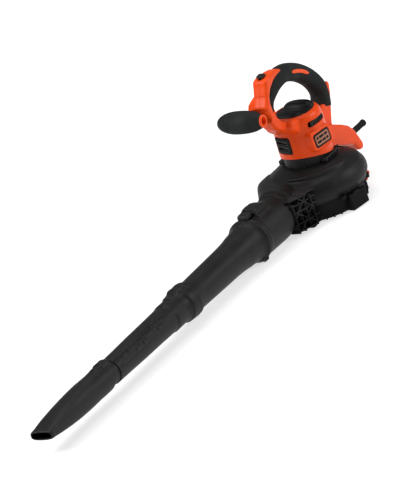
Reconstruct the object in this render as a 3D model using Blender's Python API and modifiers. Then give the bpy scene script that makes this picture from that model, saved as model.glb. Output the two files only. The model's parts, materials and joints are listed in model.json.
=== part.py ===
"""Corded electric leaf blower: fan head, motor housing with bow handle, and a two-piece blow tube.

Frame: +X is the way the air leaves, +Z is the motor's axis upwards, +Y is the machine's left side.
The origin is on the motor's axis, at the plane that the machine rests on.
Every helper takes millimetres and builds in metres.
"""

import math

import bmesh
import bpy
from mathutils import Matrix, Vector

MM = 0.001
WELD = 1e-7
GAP = 0.3

# Fan case
SEAM_Z = 38.0
CASE_RADIUS = 112.0
CASE_CENTRE = (3.4, -4.9)
CASE_WALL = 3.0
CASE_TOP_RADIUS = 48.0
FLANGE_RADIUS = 100.0
EYE_RADIUS = 60.0
CASE_SCREW_ANGLES = (60, 122, 165, 208, 251, 290)
CASE_STEPS = 48

# Outlet and tubes, all on one axis parallel to X
TUBE_Y = -14.0
TUBE_Z = 45.0
OUTLET_START_X = 154.0
OUTLET_END_X = 250.0
OUTLET_RADIUS = 44.5
DUCT_RADIUS = 43.0
TUBE_WALL = 2.2
TUBE_STEPS = 28
UPPER_TUBE_END_X = 505.0
LOWER_TUBE_END_X = 822.0
NOZZLE_END_X = 1094.0
MOUTH_HALF_WIDTH = 29.5
MOUTH_HALF_HEIGHT = 9.5
TUBE_SPIGOT = 42.0
SPRING_START_X = 207.0
SPRING_LENGTH = 5.2
SPRING_COILS = 4

# Inlet cover, the drum below the fan case
COVER_RADIUS = 91.0
COVER_TOP_Z = 33.4
COVER_WALL = 3.0
COVER_HINGE_ANGLE = math.radians(79.0)
COVER_HINGE_RADIUS = 98.0
COVER_HINGE_Z = 28.0
LATCH_ANGLE = math.radians(140.0)
LATCH_RADIUS = 97.0

# Motor housing
BARREL_RADIUS = 52.5
BARREL_WALL = 3.5
BARREL_TOP_Z = 205.0
BARREL_BOTTOM_Z = 113.0
BARREL_BOTTOM_SLOPE = 0.2
CAP_RADIUS = 40.0
BASE_TOP_RADIUS = 49.5
BADGE_X = {1: 1.0, -1: -22.0}
HOUSING_STEPS = 40

# Motor
SHAFT_RADIUS = 6.0
ARMATURE_RADIUS = 28.5
STACK_LOW_Z = 130.0
STACK_HIGH_Z = 168.0
STATOR_BORE = 29.6
FIELD_RADIUS = 48.4
BEARING_RADIUS = 13.0
BEARING_HEIGHT = 8.0
LOWER_BEARING_Z = 103.0
UPPER_BEARING_Z = 189.0
COMMUTATOR_RADIUS = 13.5
BRUSH_Z = 180.0
MOTOR_STEPS = 24

# Impeller
IMPELLER_RADIUS = 84.0
IMPELLER_PLATE_Z = 78.0
IMPELLER_LOW_Z = 45.0
IMPELLER_BLADES = 9

# Handle
HANDLE_HALF_WIDTH = 16.5
GRIP_RADIUS = 18.5
CORE_RADIUS = 14.6
CHANNEL_RADIUS = 10.5
GRIP_PATH = (
    (64, 246),
    (60, 262),
    (51, 276),
    (34, 284),
    (10, 286),
    (-16, 280),
    (-45, 266),
    (-74, 243),
    (-94, 218),
    (-101, 195),
    (-98, 175),
    (-88, 152),
)

# Side handle
SIDE_HANDLE_X = 124.0
SIDE_HANDLE_Z = 242.0
SIDE_HANDLE_LOW_Y = -92.0
SIDE_HANDLE_HIGH_Y = 10.0
SIDE_HANDLE_RADIUS = 23.5
SADDLE_RADIUS = 24.2

# Cable gland
GLAND_Y = 20.0
GLAND_Z = 89.0
GLAND_END_X = -183.0

SWITCH_SLIDE = (71.0, 0.0, 313.0)

ORANGE = ("orange_nylon", (0.83, 0.12, 0.02), 0.42, 0.0)
BLACK = ("black_nylon", (0.028, 0.029, 0.030), 0.55, 0.0)
RUBBER = ("grip_rubber", (0.035, 0.038, 0.037), 0.80, 0.0)
STEEL = ("steel", (0.55, 0.56, 0.58), 0.35, 1.0)
COPPER = ("copper_winding", (0.60, 0.27, 0.12), 0.40, 1.0)
IRON = ("laminated_iron", (0.30, 0.30, 0.31), 0.50, 1.0)
CARBON = ("brush_carbon", (0.05, 0.05, 0.055), 0.70, 0.0)
BADGE = ("badge_face", (0.45, 0.20, 0.10), 0.45, 0.0)


# ---------------------------------------------------------------- helpers


def clear_scene():
    for obj in list(bpy.data.objects):
        bpy.data.objects.remove(obj, do_unlink=True)


def make_collection(name):
    made = bpy.data.collections.new(name)
    bpy.context.scene.collection.children.link(made)
    return made


def make_material(name, colour, roughness, metallic):
    found = bpy.data.materials.get(name)
    if found:
        return found
    made = bpy.data.materials.new(name)
    made.use_nodes = True
    shader = made.node_tree.nodes["Principled BSDF"]
    shader.inputs["Base Color"].default_value = (*colour, 1.0)
    shader.inputs["Roughness"].default_value = roughness
    shader.inputs["Metallic"].default_value = metallic
    made.diffuse_color = (*colour, 1.0)
    return made


def mesh_object(name, bm):
    bmesh.ops.remove_doubles(bm, verts=bm.verts, dist=WELD)
    mesh = bpy.data.meshes.new(name)
    bm.to_mesh(mesh)
    bm.free()
    obj = bpy.data.objects.new(name, mesh)
    PARTS.objects.link(obj)
    return obj


def bake(obj):
    """Replace an object's modifiers, or its curve, with the mesh they make, placed in the world."""
    bpy.context.view_layer.update()
    graph = bpy.context.evaluated_depsgraph_get()
    mesh = bpy.data.meshes.new_from_object(obj.evaluated_get(graph))
    bm = bmesh.new()
    bm.from_mesh(mesh)
    bpy.data.meshes.remove(mesh)
    bm.transform(obj.matrix_world)
    name = obj.name
    bpy.data.objects.remove(obj, do_unlink=True)
    return mesh_object(name, bm)


def combine(target, tool, operation):
    modifier = target.modifiers.new(operation.title(), "BOOLEAN")
    modifier.operation = operation
    modifier.object = tool
    modifier.solver = "EXACT"
    made = bake(target)
    bpy.data.objects.remove(tool, do_unlink=True)
    return made


def join(target, *tools):
    for tool in tools:
        target = combine(target, tool, "UNION")
    return target


def cut(target, *tools):
    for tool in tools:
        target = combine(target, tool, "DIFFERENCE")
    return target


def keep(target, tool):
    return combine(target, tool, "INTERSECT")


def copy_of(obj, name):
    made = bpy.data.objects.new(name, obj.data.copy())
    made.matrix_world = obj.matrix_world
    PARTS.objects.link(made)
    return made


def finish(obj, look, origin=None, smooth_below=35.0):
    """Give a piece its material and shading, and put its origin where it turns or slides."""
    obj.data.materials.clear()
    obj.data.materials.append(make_material(*look))
    obj.data.shade_smooth()
    obj.data.set_sharp_from_angle(angle=math.radians(smooth_below))
    if origin:
        place = Vector(origin) * MM
        obj.data.transform(Matrix.Translation(-place))
        obj.location = place
    return obj


def bevelled(obj, width, segments=1, angle=40.0):
    modifier = obj.modifiers.new("Bevel", "BEVEL")
    modifier.width = width * MM
    modifier.segments = segments
    modifier.limit_method = "ANGLE"
    modifier.angle_limit = math.radians(angle)
    return bake(obj)


def box(name, low, high):
    bm = bmesh.new()
    bmesh.ops.create_cube(bm, size=1.0)
    centre = [(a + b) / 2 * MM for a, b in zip(low, high)]
    size = [(b - a) * MM for a, b in zip(low, high)]
    bm.transform(Matrix.Translation(centre) @ Matrix.Diagonal((*size, 1.0)))
    return mesh_object(name, bm)


def rod(name, start, end, radius, sides=16, end_radius=None):
    first, last = Vector(start) * MM, Vector(end) * MM
    bm = bmesh.new()
    bmesh.ops.create_cone(
        bm,
        cap_ends=True,
        segments=sides,
        radius1=radius * MM,
        radius2=(radius if end_radius is None else end_radius) * MM,
        depth=(last - first).length,
    )
    turn = (last - first).to_track_quat("Z", "X").to_matrix().to_4x4()
    bm.transform(Matrix.Translation((first + last) / 2) @ turn)
    return mesh_object(name, bm)


def turned(name, profile, steps, ring=False, along_x=False, centre=(0, 0, 0)):
    """Turn (radius, height) points, listed down the outer side. A ring's profile closes on itself."""
    bm = bmesh.new()
    points = [bm.verts.new((r * MM, 0, z * MM)) for r, z in profile]
    for a, b in zip(points, points[1:]):
        bm.edges.new((a, b))
    if ring:
        bm.edges.new((points[-1], points[0]))
    obj = mesh_object(name, bm)
    screw = obj.modifiers.new("Screw", "SCREW")
    screw.axis = "Z"
    screw.steps = steps
    screw.render_steps = steps
    screw.use_merge_vertices = True
    screw.merge_threshold = 0.00001
    if along_x:
        obj.rotation_euler = (0, math.pi / 2, 0)
    obj.location = [value * MM for value in centre]
    return bake(obj)


def smooth_line(points, per_span=3):
    """A Catmull-Rom line through the points, in the plane or in space."""
    points = [Vector(p).to_3d() if len(p) == 3 else Vector((*p, 0)) for p in points]
    ends = [points[0] * 2 - points[1], *points, points[-1] * 2 - points[-2]]
    line = []
    for a, b, c, d in zip(ends, ends[1:], ends[2:], ends[3:]):
        for step in range(per_span):
            t = step / per_span
            line.append(
                (b * 2 + (c - a) * t + (a * 2 - b * 5 + c * 4 - d) * t**2 + (b * 3 - a - c * 3 + d) * t**3) / 2
            )
    line.append(points[-1])
    return line


def pipe(name, points, radius, detail=4):
    """A round bar along a line of points in space."""
    curve = bpy.data.curves.new(name, "CURVE")
    curve.dimensions = "3D"
    spline = curve.splines.new("POLY")
    spline.points.add(len(points) - 1)
    for target, point in zip(spline.points, points):
        target.co = (*(Vector(point) * MM), 1.0)
    curve.bevel_depth = radius * MM
    curve.bevel_resolution = detail
    curve.use_fill_caps = True
    obj = bpy.data.objects.new(name, curve)
    PARTS.objects.link(obj)
    return bake(obj)


def plate(name, outline, half_width, middle_y=0.0):
    """A flat outline in X and Z, extruded both ways along Y."""
    curve = bpy.data.curves.new(name, "CURVE")
    curve.dimensions = "2D"
    curve.fill_mode = "BOTH"
    curve.extrude = half_width * MM
    spline = curve.splines.new("POLY")
    spline.use_cyclic_u = True
    spline.points.add(len(outline) - 1)
    for target, (x, z) in zip(spline.points, outline):
        target.co = (x * MM, z * MM, 0, 1.0)
    obj = bpy.data.objects.new(name, curve)
    PARTS.objects.link(obj)
    obj.rotation_euler = (math.pi / 2, 0, 0)
    obj.location.y = middle_y * MM
    return bake(obj)


def grown(outline, distance):
    """The outline moved outwards by a distance, corner by corner."""
    count = len(outline)
    area = sum(
        outline[i][0] * outline[(i + 1) % count][1] - outline[(i + 1) % count][0] * outline[i][1]
        for i in range(count)
    )
    side = distance if area > 0 else -distance
    moved = []
    for i in range(count):
        before = (Vector(outline[i]) - Vector(outline[i - 1])).normalized()
        after = (Vector(outline[(i + 1) % count]) - Vector(outline[i])).normalized()
        normals = Vector((before.y, -before.x)), Vector((after.y, -after.x))
        bisector = (normals[0] + normals[1]).normalized()
        reach = side / max(0.35, bisector.dot(normals[0]))
        moved.append(tuple(Vector(outline[i]) + bisector * reach))
    return moved


def loft(name, rings):
    """A closed body through rings with the same number of points, capped at both ends."""
    bm = bmesh.new()
    rows = [[bm.verts.new(Vector(p) * MM) for p in ring] for ring in rings]
    for first, second in zip(rows, rows[1:]):
        count = len(first)
        for i in range(count):
            j = (i + 1) % count
            bm.faces.new((first[i], first[j], second[j], second[i]))
    bm.faces.new(rows[0])
    bm.faces.new(rows[-1])
    bmesh.ops.recalc_face_normals(bm, faces=bm.faces)
    return mesh_object(name, bm)


def section(x, centre_y, centre_z, half_y, half_z, power, count=TUBE_STEPS):
    """A rounded section across X: an ellipse at power 2, squarer above."""
    ring = []
    for i in range(count):
        angle = 2 * math.pi * i / count
        c, s = math.cos(angle), math.sin(angle)
        y = centre_y + half_y * math.copysign(abs(c) ** (2 / power), c)
        z = centre_z + half_z * math.copysign(abs(s) ** (2 / power), s)
        ring.append((x, y, z))
    return ring


def polar(radius, angle, z):
    return (radius * math.cos(angle), radius * math.sin(angle), z)


# ---------------------------------------------------------------- fan case


def case_profile(outset):
    """Outer line of the fan case from its motor opening to its flange, moved outwards by outset."""
    return [
        (CASE_TOP_RADIUS, 100 + outset),
        (66, 96.5 + outset),
        (84 + outset * 0.4, 89 + outset * 0.9),
        (98 + outset * 0.7, 79.5 + outset * 0.7),
        (108 + outset * 0.9, 69 + outset * 0.4),
        (CASE_RADIUS + outset, 58),
        (CASE_RADIUS - 1.5 + outset, 49),
        (CASE_RADIUS - 6 + outset, 42),
        (FLANGE_RADIUS + outset, SEAM_Z + 1.5),
    ]


def case_body(name, outset, top, bottom):
    """The turned body of the fan case between two heights, closed over its axis."""
    line = case_profile(outset)
    line = [(0, top), (CASE_TOP_RADIUS, top), *line, (FLANGE_RADIUS + outset, bottom), (0, bottom)]
    return turned(name, line, CASE_STEPS, centre=(*CASE_CENTRE, 0))


def duct_body(name, inset, start_x, end_x):
    """The passage from the side of the fan case to the round outlet."""
    stations = (
        (30, -46, 60, 39.5, 84, 4.0),
        (70, -36, 57, 39.5, 86, 3.6),
        (94, -27, 52, 38.5, 87.5, 3.0),
        (122, -17, 45.5, 5.0, 88.0, 2.2),
        (OUTLET_START_X + 6, TUBE_Y, DUCT_RADIUS, TUBE_Z - DUCT_RADIUS, TUBE_Z + DUCT_RADIUS, 2.0),
    )
    rings = []
    for x, y, half_y, low, high, power in stations:
        middle = (low + high) / 2
        half_z = (high - low) / 2
        rings.append(section(x, y, middle, half_y - inset, half_z - inset, power))
    rings[0] = [(start_x, y, z) for _, y, z in rings[0]]
    rings[-1] = [(end_x, y, z) for _, y, z in rings[-1]]
    return loft(name, rings)


def duct_ribs():
    """Stiffening hoops and struts round the passage, where it leaves the fan case."""
    hoops = []
    for x, y, half_y, low, high in ((112, -21, 50, 16, 90.5), (136, -15.5, 47.0, 1.0, 90.8)):
        ring = section(x - 1.2, y, (low + high) / 2, half_y, (high - low) / 2, 2.4)
        back = [(x + 1.2, b, c) for _, b, c in ring]
        hoops.append(loft("hoop", [ring, back]))
    return hoops


def make_fan_case():
    outer = join(case_body("case", 0, 100.0, 34.0), duct_body("duct", 0, 30, OUTLET_START_X - GAP))
    outer = join(outer, *duct_ribs())
    hollow = case_body("hollow", -CASE_WALL, 96.5, SEAM_Z - GAP / 2)
    hollow = join(hollow, duct_body("passage", CASE_WALL, 30, OUTLET_START_X + 20))
    motor_hole = rod("motor_hole", (0, 0, 90), (0, 0, 110), CASE_TOP_RADIUS - 6, HOUSING_STEPS)
    eye = rod("eye", (0, 0, 20), (0, 0, 45), EYE_RADIUS, HOUSING_STEPS)
    shell = cut(outer, hollow, motor_hole, eye)
    below = copy_of(shell, "volute_lower")
    upper = keep(shell, box("above", (-200, -200, SEAM_Z + GAP / 2), (400, 200, 200)))
    lower = keep(below, box("below", (-200, -200, -50), (400, 200, SEAM_Z - GAP / 2)))
    for angle in CASE_SCREW_ANGLES:
        x, y, _ = polar(95, math.radians(angle), 0)
        hole = rod("hole", (x, y, 20), (x, y, 44), 2.5, 8)
        lower = cut(lower, hole)
    upper.name = "volute_upper"
    lower.name = "volute_lower"
    finish(upper, BLACK)
    finish(lower, BLACK)


def make_case_screws():
    """Screws hold the two halves of the fan case together from below."""
    for i, angle in enumerate(CASE_SCREW_ANGLES):
        x, y, _ = polar(95, math.radians(angle), 0)
        screw = join(
            rod("screw", (x, y, 30.0), (x, y, 33.7), 3.8, 8),
            rod("stem", (x, y, 32.0), (x, y, 37.5), 1.9, 8),
        )
        screw.name = f"case_screw_{i + 1}"
        finish(screw, STEEL)


# ---------------------------------------------------------------- inlet cover


def hinge_frame():
    """Centre of the cover's hinge and the direction of its pin."""
    centre = Vector(polar(COVER_HINGE_RADIUS, COVER_HINGE_ANGLE, COVER_HINGE_Z))
    along = Vector((-math.sin(COVER_HINGE_ANGLE), math.cos(COVER_HINGE_ANGLE), 0))
    return centre, along


def oriented_box(name, low, high, angle, place=(0, 0, 0)):
    """A box given in a frame turned about Z, whose first axis points outwards."""
    obj = box(name, low, high)
    obj.data.transform(Matrix.Translation(Vector(place) * MM) @ Matrix.Rotation(angle, 4, "Z"))
    return obj


def make_inlet_cover():
    radius, wall = COVER_RADIUS, COVER_WALL
    profile = [
        (radius, COVER_TOP_Z - 5),
        (radius, 4),
        (radius - 4, 0),
        (radius - 12, 0),
        (radius - 12, wall),
        (radius - wall - 1, wall + 3),
        (radius - wall, COVER_TOP_Z - 5),
    ]
    drum = turned("inlet_cover", profile, CASE_STEPS, ring=True)
    rings = [rod("hub", (0, 0, 0), (0, 0, 6), 20, 24)]
    for r in (40, 60):
        rings.append(
            turned("rib_ring", [(r + 1.5, 6), (r + 1.5, 0.6), (r - 1.5, 0.6), (r - 1.5, 6)], 32, ring=True)
        )
    drum = join(drum, *rings)
    for i in range(12):
        angle = math.radians(15 + 30 * i)
        drum = join(drum, oriented_box("spoke", (15, -1.4, 0.3), (radius - 8, 1.4, 7), angle))
    centre, along = hinge_frame()
    lug = oriented_box("lug", (radius - 4, -19, 0), (radius + 10, 19, 21.0), COVER_HINGE_ANGLE)
    drum = join(drum, bevelled(lug, 2.0))
    for side in (-1, 1):
        ear = rod("ear", centre + along * (side * 8), centre + along * (side * 15), 5.0, 12)
        arm = oriented_box(
            "arm",
            (radius + 2.2, side * 11.5 - 3.5, 18),
            (COVER_HINGE_RADIUS + 4.8, side * 11.5 + 3.5, COVER_HINGE_Z),
            COVER_HINGE_ANGLE,
        )
        drum = join(drum, arm, ear)
    drum = cut(drum, rod("pin_hole", centre - along * 30, centre + along * 30, 2.6, 12))
    duct_room = duct_body("duct_room", -1.2, 30, 200)
    drum = cut(drum, duct_room)
    latch_notch = oriented_box("notch", (radius - 8, -8, 12), (radius + 5, 8, 40), LATCH_ANGLE)
    drum = cut(drum, latch_notch)
    drum.name = "inlet_cover"
    finish(drum, BLACK, origin=centre)


def make_cover_hinge():
    """Fixed knuckle under the fan case's flange and the pin through it."""
    centre, along = hinge_frame()
    knuckle = rod("cover_hinge_knuckle", centre - along * 7.6, centre + along * 7.6, 5.0, 12)
    web = oriented_box(
        "web",
        (COVER_HINGE_RADIUS - 3.5, -7.6, COVER_HINGE_Z),
        (COVER_HINGE_RADIUS + 3.5, 7.6, 33.7),
        COVER_HINGE_ANGLE,
    )
    knuckle = join(knuckle, web)
    knuckle = cut(knuckle, rod("pin_hole", centre - along * 30, centre + along * 30, 2.6, 12))
    knuckle.name = "cover_hinge_knuckle"
    finish(knuckle, BLACK)
    pin = rod("cover_hinge_pin", centre - along * 16, centre + along * 16, 2.0, 12)
    finish(pin, STEEL)


def make_cover_latch():
    """Orange lever at the rear, hung under the case's flange, whose foot hooks the cover."""
    low, high = (LATCH_RADIUS - 2.5, -7, 14), (LATCH_RADIUS + 2.5, 7, 30)
    latch = oriented_box("cover_latch", low, high, LATCH_ANGLE)
    hook = oriented_box("hook", (LATCH_RADIUS - 8, -6, 14.5), (LATCH_RADIUS - 1, 6, 17.5), LATCH_ANGLE)
    thumb = oriented_box("thumb", (LATCH_RADIUS, -6.4, 26), (LATCH_RADIUS + 8.5, 6.4, 31.5), LATCH_ANGLE)
    latch = join(latch, hook, bevelled(thumb, 1.5))
    latch.name = "cover_latch"
    centre = Vector(polar(LATCH_RADIUS, LATCH_ANGLE, 26))
    along = Vector((-math.sin(LATCH_ANGLE), math.cos(LATCH_ANGLE), 0))
    latch = cut(latch, rod("latch_hole", centre - along * 20, centre + along * 20, 1.9, 10))
    latch.name = "cover_latch"
    finish(latch, ORANGE, origin=centre)
    pin = rod("cover_latch_pin", centre - along * 11, centre + along * 11, 1.4, 10)
    finish(pin, STEEL)
    low, high = (LATCH_RADIUS - 4, -11.5, 22), (LATCH_RADIUS + 3, 11.5, 33.7)
    bracket = oriented_box("bracket", low, high, LATCH_ANGLE)
    room = oriented_box("room", (LATCH_RADIUS - 12, -7.6, 10), (LATCH_RADIUS + 20, 7.6, 32.6), LATCH_ANGLE)
    bracket = cut(bracket, room, rod("bore", centre - along * 20, centre + along * 20, 1.8, 10))
    bracket.name = "cover_latch_bracket"
    finish(bracket, BLACK)


# ---------------------------------------------------------------- outlet and tubes


def tube_ring(name, profile, steps=TUBE_STEPS):
    """A hollow turned piece on the tubes' axis, from (radius, x) points down its outer side."""
    return turned(name, profile, steps, ring=True, along_x=True, centre=(0, TUBE_Y, TUBE_Z))


def hollow_profile(stations, wall):
    """Close a line of (x, radius) stations with its inner side, one wall in."""
    outer = [(r, x) for x, r in reversed(stations)]
    inner = [(r - wall, x) for x, r in stations]
    return outer + inner


def make_outlet_collar():
    stations = [
        (OUTLET_START_X, OUTLET_RADIUS),
        (OUTLET_START_X + 30, OUTLET_RADIUS),
        (OUTLET_END_X - 12, OUTLET_RADIUS - 0.4),
        (OUTLET_END_X - 4, OUTLET_RADIUS - 0.2),
        (OUTLET_END_X, OUTLET_RADIUS - 1.2),
    ]
    line = [(0, OUTLET_END_X), *[(r, x) for x, r in reversed(stations)], (0, OUTLET_START_X)]
    collar = turned("outlet_collar", line, TUBE_STEPS, along_x=True, centre=(0, TUBE_Y, TUBE_Z))
    outline = [(166, 84), (176, 99), (188, 102.5), (229, 102.5), (233, 100), (233, 84)]
    hood = bevelled(plate("hood", outline, 15, TUBE_Y), 3.0, 2)
    collar = join(collar, hood)
    bore = rod("bore", (150, TUBE_Y, TUBE_Z), (260, TUBE_Y, TUBE_Z), OUTLET_RADIUS - 2.7, TUBE_STEPS)
    pocket = box("pocket", (206, TUBE_Y - 11, 90.4), (240, TUBE_Y + 11, 99.6))
    seat = box("seat", (231.5, TUBE_Y - 11, 84), (OUTLET_END_X + 5, TUBE_Y + 11, 100))
    collar = cut(collar, bore, pocket, seat)
    collar.name = "outlet_collar"
    finish(collar, BLACK)


def make_release_button():
    """Thumb slide in the collar's hood. Its nose hooks over the upper tube's bead."""
    low_y, high_y = TUBE_Y - 10.4, TUBE_Y + 10.4
    button = box("tube_release_button", (216, low_y + 1, 91.2), (240, high_y - 1, 98.8))
    thumb = box("thumb", (237, low_y, 90.0), (258, high_y, 101.0))
    thumb = bevelled(thumb, 1.5)
    for i in range(4):
        x = 240.5 + 4 * i
        thumb = cut(thumb, box("groove", (x, low_y - 2, 100), (x + 1.6, high_y + 2, 103)))
    button = join(button, thumb)
    button.name = "tube_release_button"
    finish(button, BLACK, origin=(240, TUBE_Y, 95))
    turns = []
    for i in range(SPRING_COILS * 8 + 1):
        angle = i * math.pi / 4
        x = SPRING_START_X + SPRING_LENGTH * i / (SPRING_COILS * 8)
        turns.append((x, TUBE_Y + 2.6 * math.cos(angle), 95 + 2.6 * math.sin(angle)))
    spring = pipe("release_spring", turns, 0.45, 1)
    finish(spring, STEEL)


def make_upper_tube():
    spigot = OUTLET_RADIUS - 2.7 - GAP * 1.5
    stations = [
        (OUTLET_END_X - TUBE_SPIGOT, spigot - 0.4),
        (OUTLET_END_X + 0.6, spigot),
        (OUTLET_END_X + 1.2, 44.0),
        (OUTLET_END_X + 7, 44.6),
        (OUTLET_END_X + 14, 42.0),
        (292, 38.3),
        (316, 35.8),
        (345, 35.0),
        (478, 32.6),
        (484, 35.2),
        (UPPER_TUBE_END_X, 36.0),
        (UPPER_TUBE_END_X + 0.4, 31.6),
        (UPPER_TUBE_END_X + TUBE_SPIGOT, 30.6),
    ]
    tube = tube_ring("upper_tube", hollow_profile(stations, TUBE_WALL))
    angle = math.radians(-58)
    y = TUBE_Y + 46 * math.cos(angle)
    z = TUBE_Z + 46 * math.sin(angle)
    tab = box("tab", (-8, -5, -9), (8, 5, 9))
    tab.data.transform(
        Matrix.Translation(Vector((OUTLET_END_X + 9.5, y, z)) * MM) @ Matrix.Rotation(angle, 4, "X")
    )
    inside = rod("inside", (200, TUBE_Y, TUBE_Z), (300, TUBE_Y, TUBE_Z), 40.2, TUBE_STEPS, 34.5)
    tube = join(tube, cut(bevelled(tab, 1.5), inside))
    tube.name = "upper_tube"
    finish(tube, BLACK, origin=(OUTLET_END_X, TUBE_Y, TUBE_Z))


def make_lower_tube():
    stations = [
        (UPPER_TUBE_END_X + 0.8, 36.2),
        (528, 34.8),
        (550, 33.6),
        (576, 31.2),
        (600, 29.8),
        (LOWER_TUBE_END_X - 10, 26.8),
        (LOWER_TUBE_END_X, 26.6),
        (LOWER_TUBE_END_X + 0.4, 24.6),
        (LOWER_TUBE_END_X + TUBE_SPIGOT, 24.0),
    ]
    tube = tube_ring("lower_tube", hollow_profile(stations, TUBE_WALL))
    socket = turned(
        "socket",
        [
            (0, 570),
            (28.6, 570),
            (30.9, UPPER_TUBE_END_X + TUBE_SPIGOT + 2),
            (32.1, UPPER_TUBE_END_X - 2),
            (0, UPPER_TUBE_END_X - 2),
        ],
        TUBE_STEPS,
        along_x=True,
        centre=(0, TUBE_Y, TUBE_Z),
    )
    clip = bevelled(box("clip", (512, TUBE_Y - 8, TUBE_Z + 33), (548, TUBE_Y + 8, TUBE_Z + 39.5)), 2.0)
    tube = cut(join(tube, clip), socket)
    tube.name = "lower_tube"
    finish(tube, BLACK, origin=(UPPER_TUBE_END_X, TUBE_Y, TUBE_Z))


def nozzle_section(x, inset):
    """Half width and half height of the flat nozzle at x."""
    start = LOWER_TUBE_END_X + 130
    t = max(0.0, (x - start) / (NOZZLE_END_X - start))
    half_y = 28.2 + (MOUTH_HALF_WIDTH - 28.2) * t
    half_z = 28.2 + (MOUTH_HALF_HEIGHT - 28.2) * (0.45 * t + 0.55 * t**2.2)
    return half_y - inset, half_z - inset, 2 + 0.8 * t


def make_nozzle():
    outer, inner = [], []
    places = [LOWER_TUBE_END_X + 0.8, LOWER_TUBE_END_X + 50, LOWER_TUBE_END_X + 130]
    steps = 6
    places += [places[-1] + (NOZZLE_END_X - places[-1]) * (i + 1) / steps for i in range(steps)]
    for x in places:
        half_y, half_z, power = nozzle_section(x, 0)
        outer.append(section(x, TUBE_Y, TUBE_Z, half_y, half_z, power))
        reach = -5 if x == places[0] else 5 if x == places[-1] else 0
        half_y, half_z, power = nozzle_section(x, 3.0 if x < places[2] else TUBE_WALL)
        inner.append(section(x + reach, TUBE_Y, TUBE_Z, half_y, half_z, power))
    nozzle = loft("nozzle", outer)
    x = LOWER_TUBE_END_X
    lock = bevelled(box("lock", (x + 8, TUBE_Y - 7, 66), (x + 40, TUBE_Y + 7, 76)), 2.5)
    nozzle = cut(join(nozzle, lock), loft("inside", inner))
    nozzle.name = "nozzle"
    finish(nozzle, BLACK, origin=(LOWER_TUBE_END_X, TUBE_Y, TUBE_Z))


# ---------------------------------------------------------------- motor housing

STEM_OUTLINE = (
    (48, 297),
    (50, 311),
    (84, 311),
    (86, 301),
    (97, 278),
    (107, 264),
    (109, 238),
    (98, 214),
    (78, 196),
    (52, 180),
    (38, 180),
    (38, 200),
    (50, 208),
    (62, 226),
    (68, 244),
    (71, 264),
    (64, 284),
)
FINGER_OUTLINE = ((6, 300), (10, 303.5), (28, 307.5), (49, 309.5), (61, 307), (61, 294), (28, 297))
POST_OUTLINE = (
    (-103, 199),
    (-118, 207),
    (-120, 203),
    (-114, 187),
    (-92, 141),
    (-84, 123),
    (-37, 121),
    (-35, 157),
    (-54, 163),
    (-66, 170.4),
    (-98, 176),
)
TAIL_OUTLINE = (
    (-31, 150.5),
    (-58, 141),
    (-76, 134),
    (-117, 112),
    (-128, 99),
    (-142, 62),
    (-132, 54),
    (-118, 64),
    (-30, 64.5),
)


def housing_solid():
    """The housing's outside as one body: barrel, stem, finger, post, tail and the handle's core."""
    radius = BARREL_RADIUS
    barrel = turned(
        "housing",
        [
            (0, BARREL_TOP_Z),
            (CAP_RADIUS + 3, BARREL_TOP_Z),
            (radius - 4.5, BARREL_TOP_Z - 5),
            (radius - 0.8, BARREL_TOP_Z - 15),
            (radius, BARREL_TOP_Z - 27),
            (radius, 150),
            (radius - 0.6, 98),
            (0, 98),
        ],
        HOUSING_STEPS,
    )
    stem = bevelled(plate("stem", STEM_OUTLINE, HANDLE_HALF_WIDTH), 3.0, 2)
    finger = plate("finger", FINGER_OUTLINE, 9.5)
    post = bevelled(plate("post", POST_OUTLINE, 15.5), 3.0, 2)
    tail = bevelled(plate("tail", TAIL_OUTLINE, 34), 3.0, 2)
    shoulder = loft("shoulder", shoulder_rings())
    core = pipe("core", handle_line(), CORE_RADIUS)
    bosses = []
    for side in (1, -1):
        x = BADGE_X[side]
        low_y, high_y = sorted((side * 30, side * 54.0))
        bosses.append(bevelled(box("boss", (x - 33, low_y, 129), (x + 35, high_y, 162)), 3.0, 2))
    return join(barrel, stem, finger, post, tail, shoulder, core, *bosses)


def shoulder_rings():
    """The bracket that reaches from the stem to behind the side handle."""
    near = [(84, -10, 284), (98, -10, 276), (108, -10, 262), (108, -10, 222), (92, -10, 206), (70, -10, 196)]
    middle = [(86, -22, 280), (97, -22, 273), (107, -22, 258), (107, -22, 226), (92, -22, 210), (72, -22, 203)]
    far = [(90, -38, 258), (98, -38, 256), (104, -38, 250), (104, -38, 236), (96, -38, 230), (88, -38, 230)]
    return [near, middle, far]


def handle_line():
    return smooth_line([(x, 0, z) for x, z in GRIP_PATH])


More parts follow.
